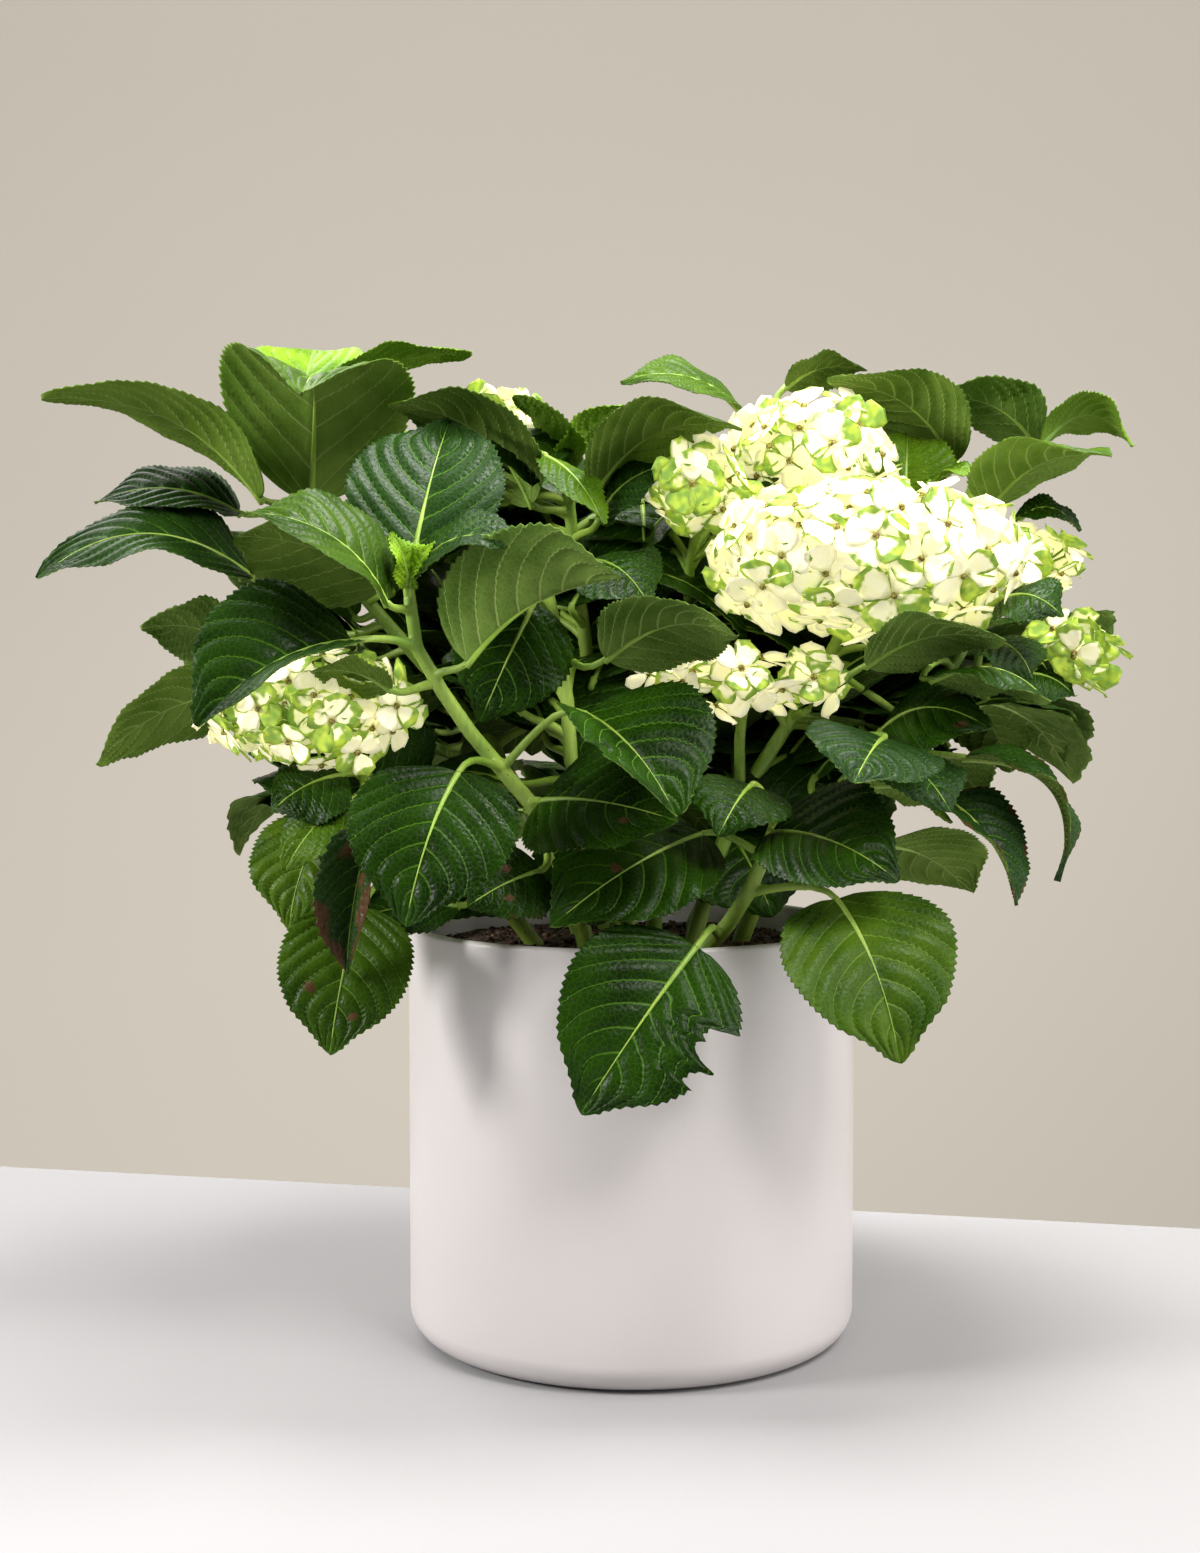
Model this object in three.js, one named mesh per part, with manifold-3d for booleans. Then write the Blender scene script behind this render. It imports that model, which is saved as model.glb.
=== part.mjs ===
// A potted hydrangea: a round planter filled with soil, canes rooted in the soil,
// leaf blades on leaf stalks, and flower heads on the cane tips.
// Millimetres, +Z up. The origin is the centre of the planter's flat base.
// Everything that grows is placed from the centre of the rim, so it rises with the planter.
import * as THREE from 'three';
import { mergeVertices } from 'three/addons/utils/BufferGeometryUtils.js';
import { LoftGeometry } from 'three/addons/geometries/LoftGeometry.js';
import Module from 'manifold-3d';

const wasm = await Module();
wasm.setup();

// ---- Driving dimensions ----

const planterDiameter = 240;
const planterHeight = 222;
const planterWall = 5;
const planterFloor = 7;
const baseCornerRadius = 16;
const innerCornerRadius = 12;
const soilBelowRim = 13;
const soilCrown = 4;
const rootDepth = 36;
const caneFootRadius = 5.2;
const caneTipRadius = 3.4;
const branchTipRadius = 2.8;
const stalkFootRadius = 2.7;
const stalkTipRadius = 1.9;
const bladeThickness = 1.3;
const plantSpread = 1;

// ---- Clearances between separate pieces ----

const seatGap = 0.3;
const leafGap = 0.6;
const stalkGap = 0.4;
const slideStep = 1.5;
const slideSteps = 60;

// ---- Fineness ----

const roundSides = 40;
const cornerSteps = 4;
const caneSides = 8;
const stalkSides = 6;
const stalkSteps = 6;
const weldDistance = 1e-4;

// ---- Ways tried for each leaf stalk: [rise, sideways turn] as shares of its length ----

const sproutsPerStem = 30;
const sproutsTried = 60;
const stalkBends = [
  [0.1, 0], [-0.15, 0], [0.35, 0], [0.1, 0.3], [0.1, -0.3],
  [-0.2, 0.3], [-0.2, -0.3], [0.3, 0.6], [0.3, -0.6], [-0.4, 0],
];

const rim = new THREE.Vector3(0, 0, planterHeight);
const soilRadius = planterDiameter / 2 - planterWall - seatGap;

const whiteGlaze = new THREE.MeshStandardMaterial({ color: 0xf1efea, roughness: 0.22, metalness: 0 });
const darkSoil = new THREE.MeshStandardMaterial({ color: 0x3a2d24, roughness: 0.95, metalness: 0 });
const greenCane = new THREE.MeshStandardMaterial({ color: 0x7d9a4a, roughness: 0.5, metalness: 0 });
const greenLeaf = new THREE.MeshStandardMaterial({ color: 0x3f6b34, roughness: 0.45, metalness: 0 });
const creamPetal = new THREE.MeshStandardMaterial({ color: 0xf2f1dc, roughness: 0.6, metalness: 0 });

const plant = new THREE.Group();

function addPiece(name, geometry, material) {
  const piece = new THREE.Mesh(geometry, material);
  piece.name = name;
  plant.add(piece);
}

// A point given in millimetres from the centre of the rim.
function fromRim([x, y, z]) {
  return new THREE.Vector3(x, y, z).multiplyScalar(plantSpread).add(rim);
}

// ---- Solids: closed meshes that can be joined, cut and measured ----

function solidOf(geometry) {
  const bare = new THREE.BufferGeometry();
  bare.setAttribute('position', geometry.getAttribute('position'));
  bare.setIndex(geometry.index);
  const merged = mergeVertices(bare, weldDistance);
  const corners = merged.index.array;
  const faces = [];
  for (let i = 0; i < corners.length; i += 3) {
    const face = [corners[i], corners[i + 1], corners[i + 2]];
    // A face that has shrunk to a line, as at the pole of a turned shape, is dropped.
    if (new Set(face).size === 3) faces.push(...face);
  }
  const mesh = new wasm.Mesh({
    numProp: 3,
    vertProperties: merged.attributes.position.array,
    triVerts: new Uint32Array(faces),
  });
  return new wasm.Manifold(mesh);
}

function geometryOf(solid) {
  const mesh = solid.getMesh();
  const geometry = new THREE.BufferGeometry();
  geometry.setAttribute('position', new THREE.BufferAttribute(mesh.vertProperties, 3));
  geometry.setIndex(new THREE.BufferAttribute(mesh.triVerts, 1));
  geometry.computeVertexNormals();
  return geometry;
}

function boxesNear(a, b, distance) {
  return [0, 1, 2].every((k) => a.min[k] - distance < b.max[k] && b.min[k] - distance < a.max[k]);
}

// Everything placed so far: { owner, solid, box }. Pieces of one owner may touch each other.
const placed = [];

function keep(owner, solid) {
  placed.push({ owner, solid, box: solid.boundingBox() });
}

function isClear(solid, gap, owner) {
  const box = solid.boundingBox();
  return placed.every((other) => other.owner === owner
    || !boxesNear(box, other.box, gap)
    || solid.minGap(other.solid, gap) >= gap);
}

// A tapered round rod along a curve, with flat ends that run past the curve by overrun.
function rodGeometry(curve, startRadius, endRadius, steps, sides, overrun = 0) {
  const points = curve.getSpacedPoints(steps);
  const frames = curve.computeFrenetFrames(steps, false);
  points[0].addScaledVector(frames.tangents[0], -overrun);
  points[steps].addScaledVector(frames.tangents[steps], overrun);
  const sections = points.map((point, i) => {
    const radius = THREE.MathUtils.lerp(startRadius, endRadius, i / steps);
    return Array.from({ length: sides }, (_, k) => {
      const angle = (k / sides) * Math.PI * 2;
      return point.clone()
        .addScaledVector(frames.normals[i], radius * Math.cos(angle))
        .addScaledVector(frames.binormals[i], radius * Math.sin(angle));
    });
  });
  return new LoftGeometry(sections, { capStart: true, capEnd: true });
}

// ---- Planter and soil ----

// Points on a quarter circle in a profile, from one angle to another.
function corner(centreX, centreY, radius, from, to) {
  return Array.from({ length: cornerSteps + 1 }, (_, i) => {
    const angle = THREE.MathUtils.degToRad(THREE.MathUtils.lerp(from, to, i / cornerSteps));
    return new THREE.Vector2(centreX + radius * Math.cos(angle), centreY + radius * Math.sin(angle));
  });
}

function turned(profile) {
  return new THREE.LatheGeometry(profile, roundSides).rotateX(Math.PI / 2);
}

function planterGeometry() {
  const outer = planterDiameter / 2;
  const inner = outer - planterWall;
  const lip = planterWall / 2;
  return turned([
    new THREE.Vector2(0, 0),
    ...corner(outer - baseCornerRadius, baseCornerRadius, baseCornerRadius, -90, 0),
    ...corner(outer - lip, planterHeight - lip, lip, 0, 180),
    ...corner(inner - innerCornerRadius, planterFloor + innerCornerRadius, innerCornerRadius, 0, -90),
    new THREE.Vector2(0, planterFloor),
  ]);
}

function soilGeometry() {
  const bottom = planterFloor + seatGap;
  const edge = planterHeight - soilBelowRim;
  return turned([
    new THREE.Vector2(0, bottom),
    ...corner(soilRadius - innerCornerRadius, bottom + innerCornerRadius, innerCornerRadius, -90, 0),
    new THREE.Vector2(soilRadius, edge),
    new THREE.Vector2(soilRadius * 0.6, edge + soilCrown * 0.8),
    new THREE.Vector2(0, edge + soilCrown),
  ]);
}

// ---- Canes ----
// foot: where the cane leaves the soil, as shares of the soil's radius
// path: the points it then passes, from the centre of the rim
// forks: side branches, each starting on the cane's own path

const canes = [
  {
    name: 'cane_left_front',
    foot: [-0.2, -0.4],
    path: [[-50, -72, 65], [-77, -86, 98], [-90, -91, 118], [-106, -94, 142], [-111, -96, 172]],
    forks: [],
  },
  {
    name: 'cane_left',
    foot: [-0.44, -0.1],
    path: [[-95, -22, 38], [-138, -48, 78], [-163, -66, 112]],
    forks: [],
  },
  {
    name: 'cane_left_back',
    foot: [-0.24, 0.22],
    path: [[-72, 30, 86], [-126, 22, 152], [-164, 10, 198], [-180, 2, 222]],
    forks: [[[-72, 30, 86], [-92, 50, 160], [-78, 62, 266]]],
  },
  {
    name: 'cane_centre',
    foot: [0.02, -0.22],
    path: [[-20, -42, 57], [-34, -46, 97], [-34, -46, 125], [-44, -46, 176]],
    forks: [],
  },
  {
    name: 'cane_centre_back',
    foot: [-0.06, 0.08],
    path: [[-20, 12, 110], [-30, 8, 190], [-35, 0, 238]],
    forks: [],
  },
  {
    name: 'cane_right_front',
    foot: [0.3, -0.54],
    path: [[50, -76, 10], [62, -86, 34], [72, -84, 62]],
    forks: [],
  },
  {
    name: 'cane_flower_front',
    foot: [0.28, -0.14],
    path: [[58, -14, 67], [92, -26, 122], [116, -54, 172]],
    forks: [[[58, -14, 67], [56, -36, 100], [58, -62, 130]]],
  },
  {
    name: 'cane_right',
    foot: [0.5, 0.02],
    path: [[98, -34, 58], [126, -54, 98], [156, -54, 124], [190, -42, 138], [224, -28, 146]],
    forks: [[[156, -54, 124], [180, -34, 158], [208, -6, 184]]],
  },
  {
    name: 'cane_right_back',
    foot: [0.3, 0.42],
    path: [[92, 62, 88], [150, 58, 160], [180, 44, 212], [192, 36, 242]],
    forks: [],
  },
  {
    name: 'cane_top',
    foot: [0.1, 0.34],
    path: [[38, 40, 100], [66, 32, 176], [94, 22, 238]],
    forks: [[[38, 40, 100], [30, 6, 170], [35, -26, 222]]],
  },
  {
    name: 'cane_back',
    foot: [-0.12, 0.46],
    path: [[-22, 96, 66], [-16, 126, 136], [-8, 136, 196]],
    forks: [],
  },
];

function caneCurve(cane) {
  const [shareX, shareY] = cane.foot;
  const soilTop = planterHeight - soilBelowRim;
  const foot = new THREE.Vector3(shareX * soilRadius, shareY * soilRadius, soilTop);
  const root = foot.clone().setZ(soilTop - rootDepth);
  return new THREE.CatmullRomCurve3([root, foot, ...cane.path.map(fromRim)], false, 'centripetal');
}

// The bare stem and its forks as one solid, swollen by extra all round.
function stemSolid(cane, extra) {
  const main = solidOf(rodGeometry(
    caneCurve(cane), caneFootRadius + extra, caneTipRadius + extra,
    cane.path.length * 2, caneSides, extra));
  return cane.forks.reduce((whole, fork) => {
    const curve = new THREE.CatmullRomCurve3(fork.map(fromRim), false, 'centripetal');
    return whole.add(solidOf(rodGeometry(
      curve, caneTipRadius + extra, branchTipRadius + extra,
      fork.length * 2, caneSides, extra)));
  }, main);
}

// ---- Flower heads: lumpy domes, one grown cluster each ----
// [name, centre from the rim, half sizes in x, y and z]

const flowerHeads = [
  ['flower_left', [-165, -68, 116], [56, 44, 34]],
  ['flower_top_left', [-76, 62, 274], [28, 26, 20]],
  ['flower_top', [97, 20, 250], [48, 44, 38]],
  ['flower_top_small', [36, -30, 230], [30, 24, 24]],
  ['flower_front', [119, -60, 192], [83, 54, 44]],
  ['flower_low', [57, -62, 131], [54, 26, 19]],
  ['flower_right', [209, -4, 192], [34, 31, 21]],
  ['flower_right_low', [231, -26, 145], [26, 26, 22]],
];

function flowerHeadSolid([, centre, halfSizes]) {
  const geometry = new THREE.IcosahedronGeometry(1, 3);
  const position = geometry.getAttribute('position');
  const point = new THREE.Vector3();
  for (let i = 0; i < position.count; i++) {
    point.fromBufferAttribute(position, i).normalize();
    const lump = Math.sin(7 * point.x + 1) * Math.sin(7 * point.y + 2) * Math.sin(6 * point.z + 3);
    point.multiplyScalar(1 + 0.07 * lump);
    position.setXYZ(i, point.x, point.y, point.z);
  }
  const place = fromRim(centre);
  geometry.scale(...halfSizes.map((size) => size * plantSpread));
  geometry.translate(place.x, place.y, place.z);
  return solidOf(geometry);
}

// ---- Leaf blades ----
// base and tip: the ends of the midrib, from the centre of the rim
// width: across the widest part; arch: how far the midrib bows towards the upper side
// fold: degrees that each half rises from the midrib; face: where the upper side looks
// twist: degrees that the blade turns about its midrib from base to tip

function leaf(name, base, tip, width, arch, fold, face, twist = 0) {
  return { name: `leaf_${name}`, base, tip, width, arch, fold, face, twist };
}

const leaves = [
  leaf('far_left_top', [-197, -10, 226], [-308, -30, 277], 74, 20, 10, [0.3, 0.3, 0.9]),
  leaf('fan_left', [-173, 10, 226], [-162, -100, 271], 106, 35, 18, [0, 0.8, 0.6]),
  leaf('crown_left', [-184, 46, 266], [-186, 118, 324], 76, 8, 20, [0, -0.6, 0.8]),
  leaf('crown_right', [-166, 20, 290], [-87, 30, 310], 64, 16, 10, [-0.2, 0.45, 0.85]),
  leaf('left_shelf', [-212, 10, 220], [-288, 0, 225], 60, 12, 8, [0, -0.45, 0.9]),
  leaf('far_left_mid', [-200, -20, 185], [-309, -40, 183], 64, 26, 8, [0, -0.5, 0.86]),
  leaf('left_low', [-199, 0, 125], [-282, -30, 86], 66, 14, 0, [-0.4, 0.5, 0.75]),
  leaf('upright_blue', [-110, -92, 188], [-96, -25, 265], 80, 8, 15, [0, -0.85, 0.5]),
  leaf('arching_left', [-120, -112, 168], [-185, -132, 211], 74, 14, 12, [0.3, -0.4, 0.85]),
  leaf('big_left', [-136, -122, 150], [-205, -152, 109], 86, 12, 30, [-0.2, -0.6, 0.75]),
  leaf('folded_centre', [-82, -105, 139], [-6, -120, 180], 86, 12, 42, [-0.45, 0.5, 0.72]),
  leaf('top_left_arch', [-53, -10, 223], [-128, -30, 274], 76, 18, 5, [0.35, 0.4, 0.85]),
  leaf('top_right_of_tip', [-20, -20, 229], [56, -50, 259], 76, 18, 5, [-0.3, 0.35, 0.88]),
  leaf('top_behind', [62, 60, 281], [-6, 40, 295], 60, 12, 5, [0.1, -0.4, 0.9]),
  leaf('centre_under', [-14, -84, 141], [48, -118, 152], 66, 14, 0, [0.1, 0.5, 0.86]),
  leaf('saddle', [-24, -114, 115], [19, -152, 67], 92, 8, 28, [0.4, -0.6, 0.7]),
  leaf('round_front', [-47, -88, 71], [20, -135, 64], 82, 6, 5, [0.1, -0.75, 0.65]),
  leaf('low_front', [35, -80, 54], [-41, -128, 12], 78, 8, 8, [-0.2, -0.75, 0.63]),
  leaf('big_front_left', [-85, -125, 87], [-108, -160, 16], 82, 12, 5, [-0.1, -0.85, 0.5]),
  leaf('left_droop', [-153, -60, 62], [-174, -80, 4], 62, 10, 5, [-0.3, -0.8, 0.4]),
  leaf('over_rim_left', [-137, -80, 17], [-149, -110, -52], 66, 8, 5, [-0.1, -0.95, 0.2]),
  leaf('over_rim_front', [30, -125, 3], [-26, -150, -74], 86, 10, 8, [-0.1, -0.95, 0.25]),
  leaf('over_rim_right', [99, -110, 24], [125, -150, -50], 86, 14, 8, [0.15, -0.85, 0.5]),
  leaf('low_right', [68, -100, 56], [126, -135, 35], 76, 10, 10, [0.1, -0.7, 0.7]),
  leaf('grey_right', [122, -106, 103], [102, -148, 83], 66, 6, 0, [0, -0.7, 0.7]),
  leaf('matte_right', [133, -10, 42], [190, 30, 12], 74, 8, 5, [0.3, 0.6, 0.7]),
  leaf('twisted_right', [159, -70, 70], [191, -95, 19], 46, 8, 25, [0.6, -0.5, 0.6], 40),
  leaf('hanging_right', [170, -60, 91], [215, -80, 29], 52, 25, 15, [0.7, -0.2, 0.7], 20),
  leaf('arched_right', [125, -70, 105], [176, -95, 107], 76, 14, 0, [0.1, -0.6, 0.8]),
  leaf('under_flower_right', [114, -98, 138], [178, -124, 150], 62, 10, 0, [-0.1, 0.4, 0.9]),
  leaf('long_right', [147, -92, 131], [200, -120, 120], 58, 12, -15, [0, 0.2, 0.98]),
  leaf('top_right_arch', [180, 40, 250], [107, 20, 291], 76, 16, 5, [0.45, 0.4, 0.8]),
  leaf('top_right_under', [196, 20, 225], [247, -40, 246], 76, 12, 10, [-0.35, 0.45, 0.82]),
  leaf('top_right_light', [227, 40, 260], [276, 30, 258], 46, 20, 10, [-0.1, 0.4, 0.9]),
  leaf('back_left', [-84, 104, 156], [-150, 178, 128], 88, 16, 8, [-0.3, 0.5, 0.8]),
  leaf('back_middle', [-12, 160, 196], [-34, 222, 128], 90, 20, 8, [0, 0.8, 0.6]),
  leaf('back_right', [76, 124, 156], [132, 190, 118], 88, 16, 8, [0.3, 0.6, 0.7]),
  leaf('back_low', [34, 136, 56], [72, 190, -4], 82, 14, 8, [0.2, 0.8, 0.5]),
  leaf('back_low_left', [-60, 124, 66], [-108, 176, 6], 80, 14, 8, [-0.3, 0.7, 0.5]),
];

const bladeStations = [0.02, 0.15, 0.3, 0.45, 0.62, 0.8, 0.98];
const bladeColumns = [-1, -0.55, 0, 0.55, 1];
const twistSteps = 3;
const baseRoundness = 0.55;
const tipSharpness = 0.85;
const widestAt = baseRoundness / (baseRoundness + tipSharpness);

// Half width along the blade, as a share of the widest.
function bladeOutline(u) {
  return (u / widestAt) ** baseRoundness * ((1 - u) / (1 - widestAt)) ** tipSharpness;
}

function bladeFrame(blade) {
  const base = fromRim(blade.base);
  const chord = fromRim(blade.tip).sub(base);
  const along = chord.clone().normalize();
  const up = new THREE.Vector3(...blade.face);
  up.addScaledVector(along, -up.dot(along)).normalize();
  return { base, chord, along, up, across: new THREE.Vector3().crossVectors(along, up) };
}

function midribPoint(blade, u) {
  const { base, chord, up } = bladeFrame(blade);
  const bow = 4 * blade.arch * plantSpread * u * (1 - u);
  return base.addScaledVector(chord, u).addScaledVector(up, bow);
}

// A slice across the blade at u, from 0 at the base to 1 at the tip: a thin lens, folded at the
// midrib. v runs from one margin, -1, over the midrib, 0, to the other margin, 1.
function bladeSection(blade, u) {
  const { chord, along, up, across } = bladeFrame(blade);
  const middle = midribPoint(blade, u);
  const slope = 4 * blade.arch * plantSpread * (1 - 2 * u);
  const normal = up.clone().multiplyScalar(chord.length()).addScaledVector(along, -slope).normalize();
  const turn = THREE.MathUtils.degToRad(blade.twist * (u - 0.5));
  const side = across.clone().multiplyScalar(Math.cos(turn)).addScaledVector(normal, Math.sin(turn));
  const lift = normal.clone().multiplyScalar(Math.cos(turn)).addScaledVector(across, -Math.sin(turn));
  const halfWidth = (blade.width / 2) * plantSpread * bladeOutline(u);
  const fold = THREE.MathUtils.degToRad(blade.fold);
  const at = (v, height) => middle.clone()
    .addScaledVector(side, v * halfWidth * Math.cos(fold))
    .addScaledVector(lift, Math.abs(v) * halfWidth * Math.sin(fold) + height);
  const upper = bladeColumns.map((v) => at(v, (bladeThickness / 2) * (1 - v * v)));
  const lower = bladeColumns.slice(1, -1).map((v) => at(v, (-bladeThickness / 2) * (1 - v * v)));
  return [...upper, ...lower.reverse()];
}

// A twisted blade takes three steps where a plain one takes a single step. Its faces then stay so
// nearly flat that the upper and the lower sheet don't cross.
function stationsOf(blade) {
  if (!blade.twist) return bladeStations;
  return bladeStations.flatMap((u, i) => (i === 0 ? [u] : Array.from(
    { length: twistSteps },
    (_, k) => THREE.MathUtils.lerp(bladeStations[i - 1], u, (k + 1) / twistSteps))));
}

function bladeSolid(blade) {
  const sections = stationsOf(blade).map((u) => bladeSection(blade, u));
  return solidOf(new LoftGeometry(sections, { capStart: true, capEnd: true }));
}

// ---- Putting the pieces together ----

const stems = canes.map((cane) => ({
  name: cane.name,
  curve: caneCurve(cane),
  forks: cane.forks.map((fork) => new THREE.CatmullRomCurve3(fork.map(fromRim), false, 'centripetal')),
  solid: stemSolid(cane, 0),
  sleeve: stemSolid(cane, seatGap),
}));

function addFirmPiece(name, solid, material) {
  const cut = stems.reduce((rest, stem) => rest.subtract(stem.sleeve), solid);
  keep(name, cut);
  addPiece(name, geometryOf(cut), material);
}

addFirmPiece('planter', solidOf(planterGeometry()), whiteGlaze);
addFirmPiece('soil', solidOf(soilGeometry()), darkSoil);
flowerHeads.forEach((head) => addFirmPiece(head[0], flowerHeadSolid(head), creamPetal));
stems.forEach((stem) => keep(stem.name, stem.solid));

// Blades are laid from the middle of the plant outwards. Each slides away from the middle, to the
// front or to the back, until it clears everything that is already there.
function layBlade(blade) {
  const solid = bladeSolid(blade);
  const step = Math.sign(blade.base[1] + blade.tip[1]) * slideStep;
  let slide = 0;
  while (Math.abs(slide) < slideSteps * slideStep && !isClear(solid.translate(0, slide, 0), leafGap)) {
    slide += step;
  }
  const laid = solid.translate(0, slide, 0);
  keep(blade.name, laid);
  addPiece(blade.name, geometryOf(laid), greenLeaf);
  return { blade, slide };
}

const depthOf = (blade) => Math.abs(blade.base[1] + blade.tip[1]);
const laidBlades = [...leaves]
  .sort((a, b) => depthOf(a) - depthOf(b))
  .map(layBlade);

// Where stalks can start: points along every cane and fork, above the soil.
const sprouts = stems.flatMap((stem) => [stem.curve, ...stem.forks].flatMap((curve) => (
  curve.getSpacedPoints(sproutsPerStem)
    .filter((point) => point.z > planterHeight)
    .map((point) => ({ owner: stem.name, point })))));

// A stalk never doubles back: from one section to the next it turns by less than 60 degrees.
function bendsGently(curve) {
  const points = curve.getSpacedPoints(stalkSteps);
  return points.slice(1).every((point, i) => {
    const step = point.clone().sub(points[i]).normalize();
    return step.dot(curve.getTangentAt(i / stalkSteps)) > 0.5
      && step.dot(curve.getTangentAt((i + 1) / stalkSteps)) > 0.5;
  });
}

// A stalk's ways from a cane to a blade: shorter and rising ones first, each with several bends.
function* stalkWays({ blade, slide }) {
  const start = midribPoint(blade, bladeStations[0]);
  const heading = midribPoint(blade, bladeStations[1]).sub(start).normalize();
  const end = start.addScaledVector(heading, -stalkGap);
  end.y += slide;
  const cost = ({ point }) => point.distanceTo(end) + Math.max(0, point.z - end.z) * 1.5;
  const nearest = [...sprouts].sort((a, b) => cost(a) - cost(b)).slice(0, sproutsTried);
  for (const { owner, point } of nearest) {
    const reach = point.distanceTo(end);
    const outward = end.clone().sub(point).normalize();
    const sideways = new THREE.Vector3(-outward.y, outward.x, 0);
    for (const [rise, turn] of stalkBends) {
      const leave = point.clone()
        .addScaledVector(outward, 0.35 * reach)
        .addScaledVector(sideways, turn * reach);
      leave.z += rise * reach;
      const arrive = end.clone().addScaledVector(heading, -0.35 * reach);
      const curve = new THREE.CubicBezierCurve3(point, leave, arrive, end);
      if (bendsGently(curve)) yield { owner, curve };
    }
  }
}

const stalks = [];
for (const laid of laidBlades) {
  for (const { owner, curve } of stalkWays(laid)) {
    const solid = solidOf(rodGeometry(curve, stalkFootRadius, stalkTipRadius, stalkSteps, stalkSides));
    if (isClear(solid, seatGap, owner)) {
      keep(owner, solid);
      stalks.push({ owner, solid });
      break;
    }
  }
}

stems.forEach((stem) => {
  const own = stalks.filter((stalk) => stalk.owner === stem.name);
  const whole = own.reduce((joined, stalk) => joined.add(stalk.solid), stem.solid);
  addPiece(stem.name, geometryOf(whole), greenCane);
});

export default plant;
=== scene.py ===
import math
import bpy
import numpy as np
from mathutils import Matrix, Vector


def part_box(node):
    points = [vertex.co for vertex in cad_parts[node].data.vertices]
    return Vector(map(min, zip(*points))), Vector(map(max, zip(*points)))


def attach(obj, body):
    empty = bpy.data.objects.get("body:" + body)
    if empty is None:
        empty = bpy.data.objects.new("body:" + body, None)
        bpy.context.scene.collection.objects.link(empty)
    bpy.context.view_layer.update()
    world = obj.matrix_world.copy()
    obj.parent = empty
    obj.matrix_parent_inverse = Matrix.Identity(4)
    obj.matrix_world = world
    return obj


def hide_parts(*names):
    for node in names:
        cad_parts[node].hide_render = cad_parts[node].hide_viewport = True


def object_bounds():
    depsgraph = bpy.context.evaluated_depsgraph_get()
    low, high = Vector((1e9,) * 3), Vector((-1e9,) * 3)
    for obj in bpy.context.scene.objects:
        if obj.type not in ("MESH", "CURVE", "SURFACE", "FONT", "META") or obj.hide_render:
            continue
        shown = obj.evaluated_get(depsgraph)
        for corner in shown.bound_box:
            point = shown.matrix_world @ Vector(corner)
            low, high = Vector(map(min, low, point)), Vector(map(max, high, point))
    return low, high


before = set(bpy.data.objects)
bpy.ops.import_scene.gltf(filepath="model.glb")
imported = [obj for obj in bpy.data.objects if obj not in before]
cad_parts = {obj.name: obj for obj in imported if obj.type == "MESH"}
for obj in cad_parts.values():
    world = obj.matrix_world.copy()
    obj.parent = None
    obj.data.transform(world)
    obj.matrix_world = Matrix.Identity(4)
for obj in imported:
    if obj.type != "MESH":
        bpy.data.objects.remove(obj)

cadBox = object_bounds()
mm = 0.001               # shapes are worked out in millimetres and written in metres


def toArray(values):
    # vectors as the rows of an array
    return np.array([list(v) for v in values], dtype=float)


boxLow, boxHigh = toArray(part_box("planter")) / mm
rimCentre = np.array([(boxLow[0] + boxHigh[0]) / 2, (boxLow[1] + boxHigh[1]) / 2, boxHigh[2]])
planterRadius = (boxHigh[0] - boxLow[0]) / 2
print("frame loaded: rim", rimCentre, "radius", planterRadius)


def smooth(x, low, high):
    # 0 below low, 1 above high, and an S curve 3t^2 - 2t^3 between them
    t = np.clip((x - low) / (high - low), 0, 1)
    return t * t * (3 - 2 * t)


def unit(v):
    # a vector over its own length
    return v / np.maximum(np.linalg.norm(v, axis=-1, keepdims=True), 1e-12)


def gridQuads(rows, columns, start=0, wrap=False):
    # quads of a grid of rows x columns points; wrap joins the last column to the first
    i, j = np.meshgrid(np.arange(rows - 1), np.arange(columns if wrap else columns - 1), indexing="ij")
    k = (j + 1) % columns
    quads = np.stack([i * columns + j, i * columns + k, (i + 1) * columns + k, (i + 1) * columns + j], -1)
    return quads.reshape(-1, 4) + start


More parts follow.
